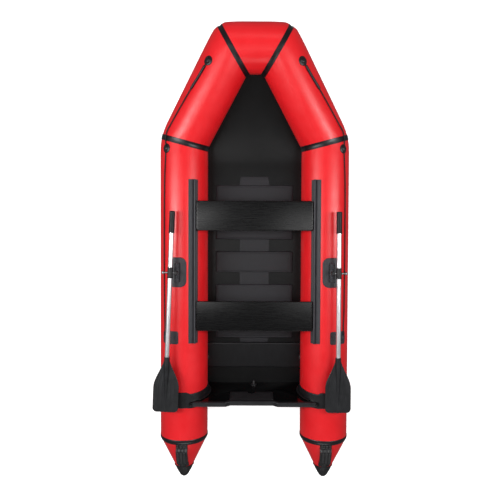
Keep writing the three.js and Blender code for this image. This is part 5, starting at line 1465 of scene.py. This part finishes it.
def valve(side):
    """The valve: a flange with a bevelled rim and a cup through the fabric, a sprung stem with its head in
    the cup, and a cap with a knurled edge and a bar to turn it by. Each is a profile turned round the
    valve's axis; the cap's radius dips by 0.5 mm (0.5 + 0.5 cos 40a) at its edge."""

    def turned(rows, sides, ends, ripple=None):
        return lofted(for_side(spun(rows, sides, VALVE_FOOT, VALVE_AXIS, ripple), side), ends)

    body = mm((9, -28), (24, -28), (24, -3.2), (32, -2.6), (32, 2.4), (29, 4), (16, 4), (16, -23), (9, -23))
    piece(f"{side}_valve_flange", [turned(body, 56, "joined")], NYLON,
          replaces=[f"{side}_valve_body"], slot="moulded_plastic")
    stem = mm((0, -31.5), (14, -31.5), (14, -28.5), (4.5, -28.5), (4.5, -16), (10, -16), (10, -12.8),
              (9, -12), (0, -12))
    piece(f"{side}_valve_plunger", [turned(stem, 40, "shut")], NYLON, f"{side}_valve_stem",
          replaces=[f"{side}_valve_stem"], slot="moulded_plastic")
    cap = mm((0, -3.5), (15, -3.5), (15.4, -2.5), (15.4, 4.5), (22, 4.5), (22, 9.1), (20, 10.1), (12, 9.1),
             (0, 8.9))

    def knurl(angle, radius, height):
        return np.where(radius > 21 * MM, -0.5 * MM * (0.5 + 0.5 * np.cos(40 * angle)), 0.0)

    u, v, w = frame_of(VALVE_AXIS)
    bar = slab(3 * MM, 17 * MM, 2.9 * MM, 3.4 * MM, 1.4 * MM, (6, 20), base=7.3 * MM)
    placed = VALVE_FOOT + bar[..., :1] * v + bar[..., 1:2] * u + bar[..., 2:] * w
    forms = [turned(cap, 160, "shut", knurl), lofted(for_side(placed, side), "shut")]
    piece(f"{side}_valve_lid", forms, NYLON, f"{side}_valve_cap", replaces=[f"{side}_valve_cap"],
          slot="moulded_plastic", sharp=30)


both(valve)

# ---------------------------------------------------------------- the piece inside the bow tube

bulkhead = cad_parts["bow_bulkhead"]
bulkhead.data.materials.clear()
bulkhead.data.materials.append(SLEEVE_FABRIC)

# ---------------------------------------------------------------- floor of the studio, light


def studio():
    """A white floor, and six soft boxes: one past the bow and one past the stern, a long strip low on each
    side and a box high on each side. The one past the bow gives light but isn't mirrored by the boat."""
    made, tree, shader = new_material("studio_floor_white", 0.9, 1.45)
    place = add(tree, "TexCoord").outputs["Object"]
    clouds = add(tree, "TexNoise", {"Vector": place, "Scale": 0.6, "Detail": 2.0}).outputs["Fac"]
    colour = add(tree, "ValToRGB", {"Fac": clouds}, ramp=[(0.3, "#f8f8f8"), (0.7, "#fbfbfb")])
    finish_with(tree, shader, colour.outputs["Color"])
    shader.inputs["Emission Color"].default_value = (1, 1, 1, 1)
    shader.inputs["Emission Strength"].default_value = 0.7
    mesh = bpy.data.meshes.new("studio_floor")
    reach = 14.0
    corners = [(x * reach, y * reach, -1 * MM) for x, y in ((-1, -1), (1, -1), (1, 1), (-1, 1))]
    mesh.from_pydata(corners, [], [(0, 1, 2, 3)])
    mesh.materials.append(made)
    ground = bpy.data.objects.new("studio_floor", mesh)
    bpy.context.scene.collection.objects.link(ground)
    ground.visible_diffuse = ground.visible_glossy = False
    world = bpy.data.worlds.new("studio")
    world.use_nodes = True
    sky = world.node_tree.nodes["Background"].inputs
    sky["Color"].default_value = (1, 1, 1, 1)
    sky["Strength"].default_value = 0.13
    bpy.context.scene.world = world
    # name, place in metres, size in metres, power in watts, whether the boat mirrors it
    lamps = (
        ("key_bow", (0.0, 3.9, 3.6), (3.2, 1.3), 62, False),
        ("key_stern", (0.0, -4.9, 2.6), (3.2, 1.0), 80, True),
        ("strip_port", (-3.3, 0.3, 3.3), (0.7, 2.4), 76, True),
        ("strip_starboard", (3.1, 0.3, 3.3), (0.7, 2.4), 62, True),
        ("box_port", (-1.9, 0.1, 3.7), (1.2, 2.4), 38, True),
        ("box_starboard", (1.9, 0.1, 3.7), (1.2, 2.4), 25, True),
    )
    for name, place, size, power, glossy in lamps:
        data = bpy.data.lights.new(name, "AREA")
        data.shape = "RECTANGLE"
        data.size, data.size_y = size
        data.energy = power
        lamp = bpy.data.objects.new(name, data)
        lamp.location = place
        lamp.visible_glossy = glossy
        aim = Vector((0, place[1], 0.3)) - Vector(place)
        lamp.rotation_euler = aim.to_track_quat("-Z", "Y").to_euler()
        bpy.context.scene.collection.objects.link(lamp)
    bpy.context.scene.view_settings.view_transform = "Standard"


studio()
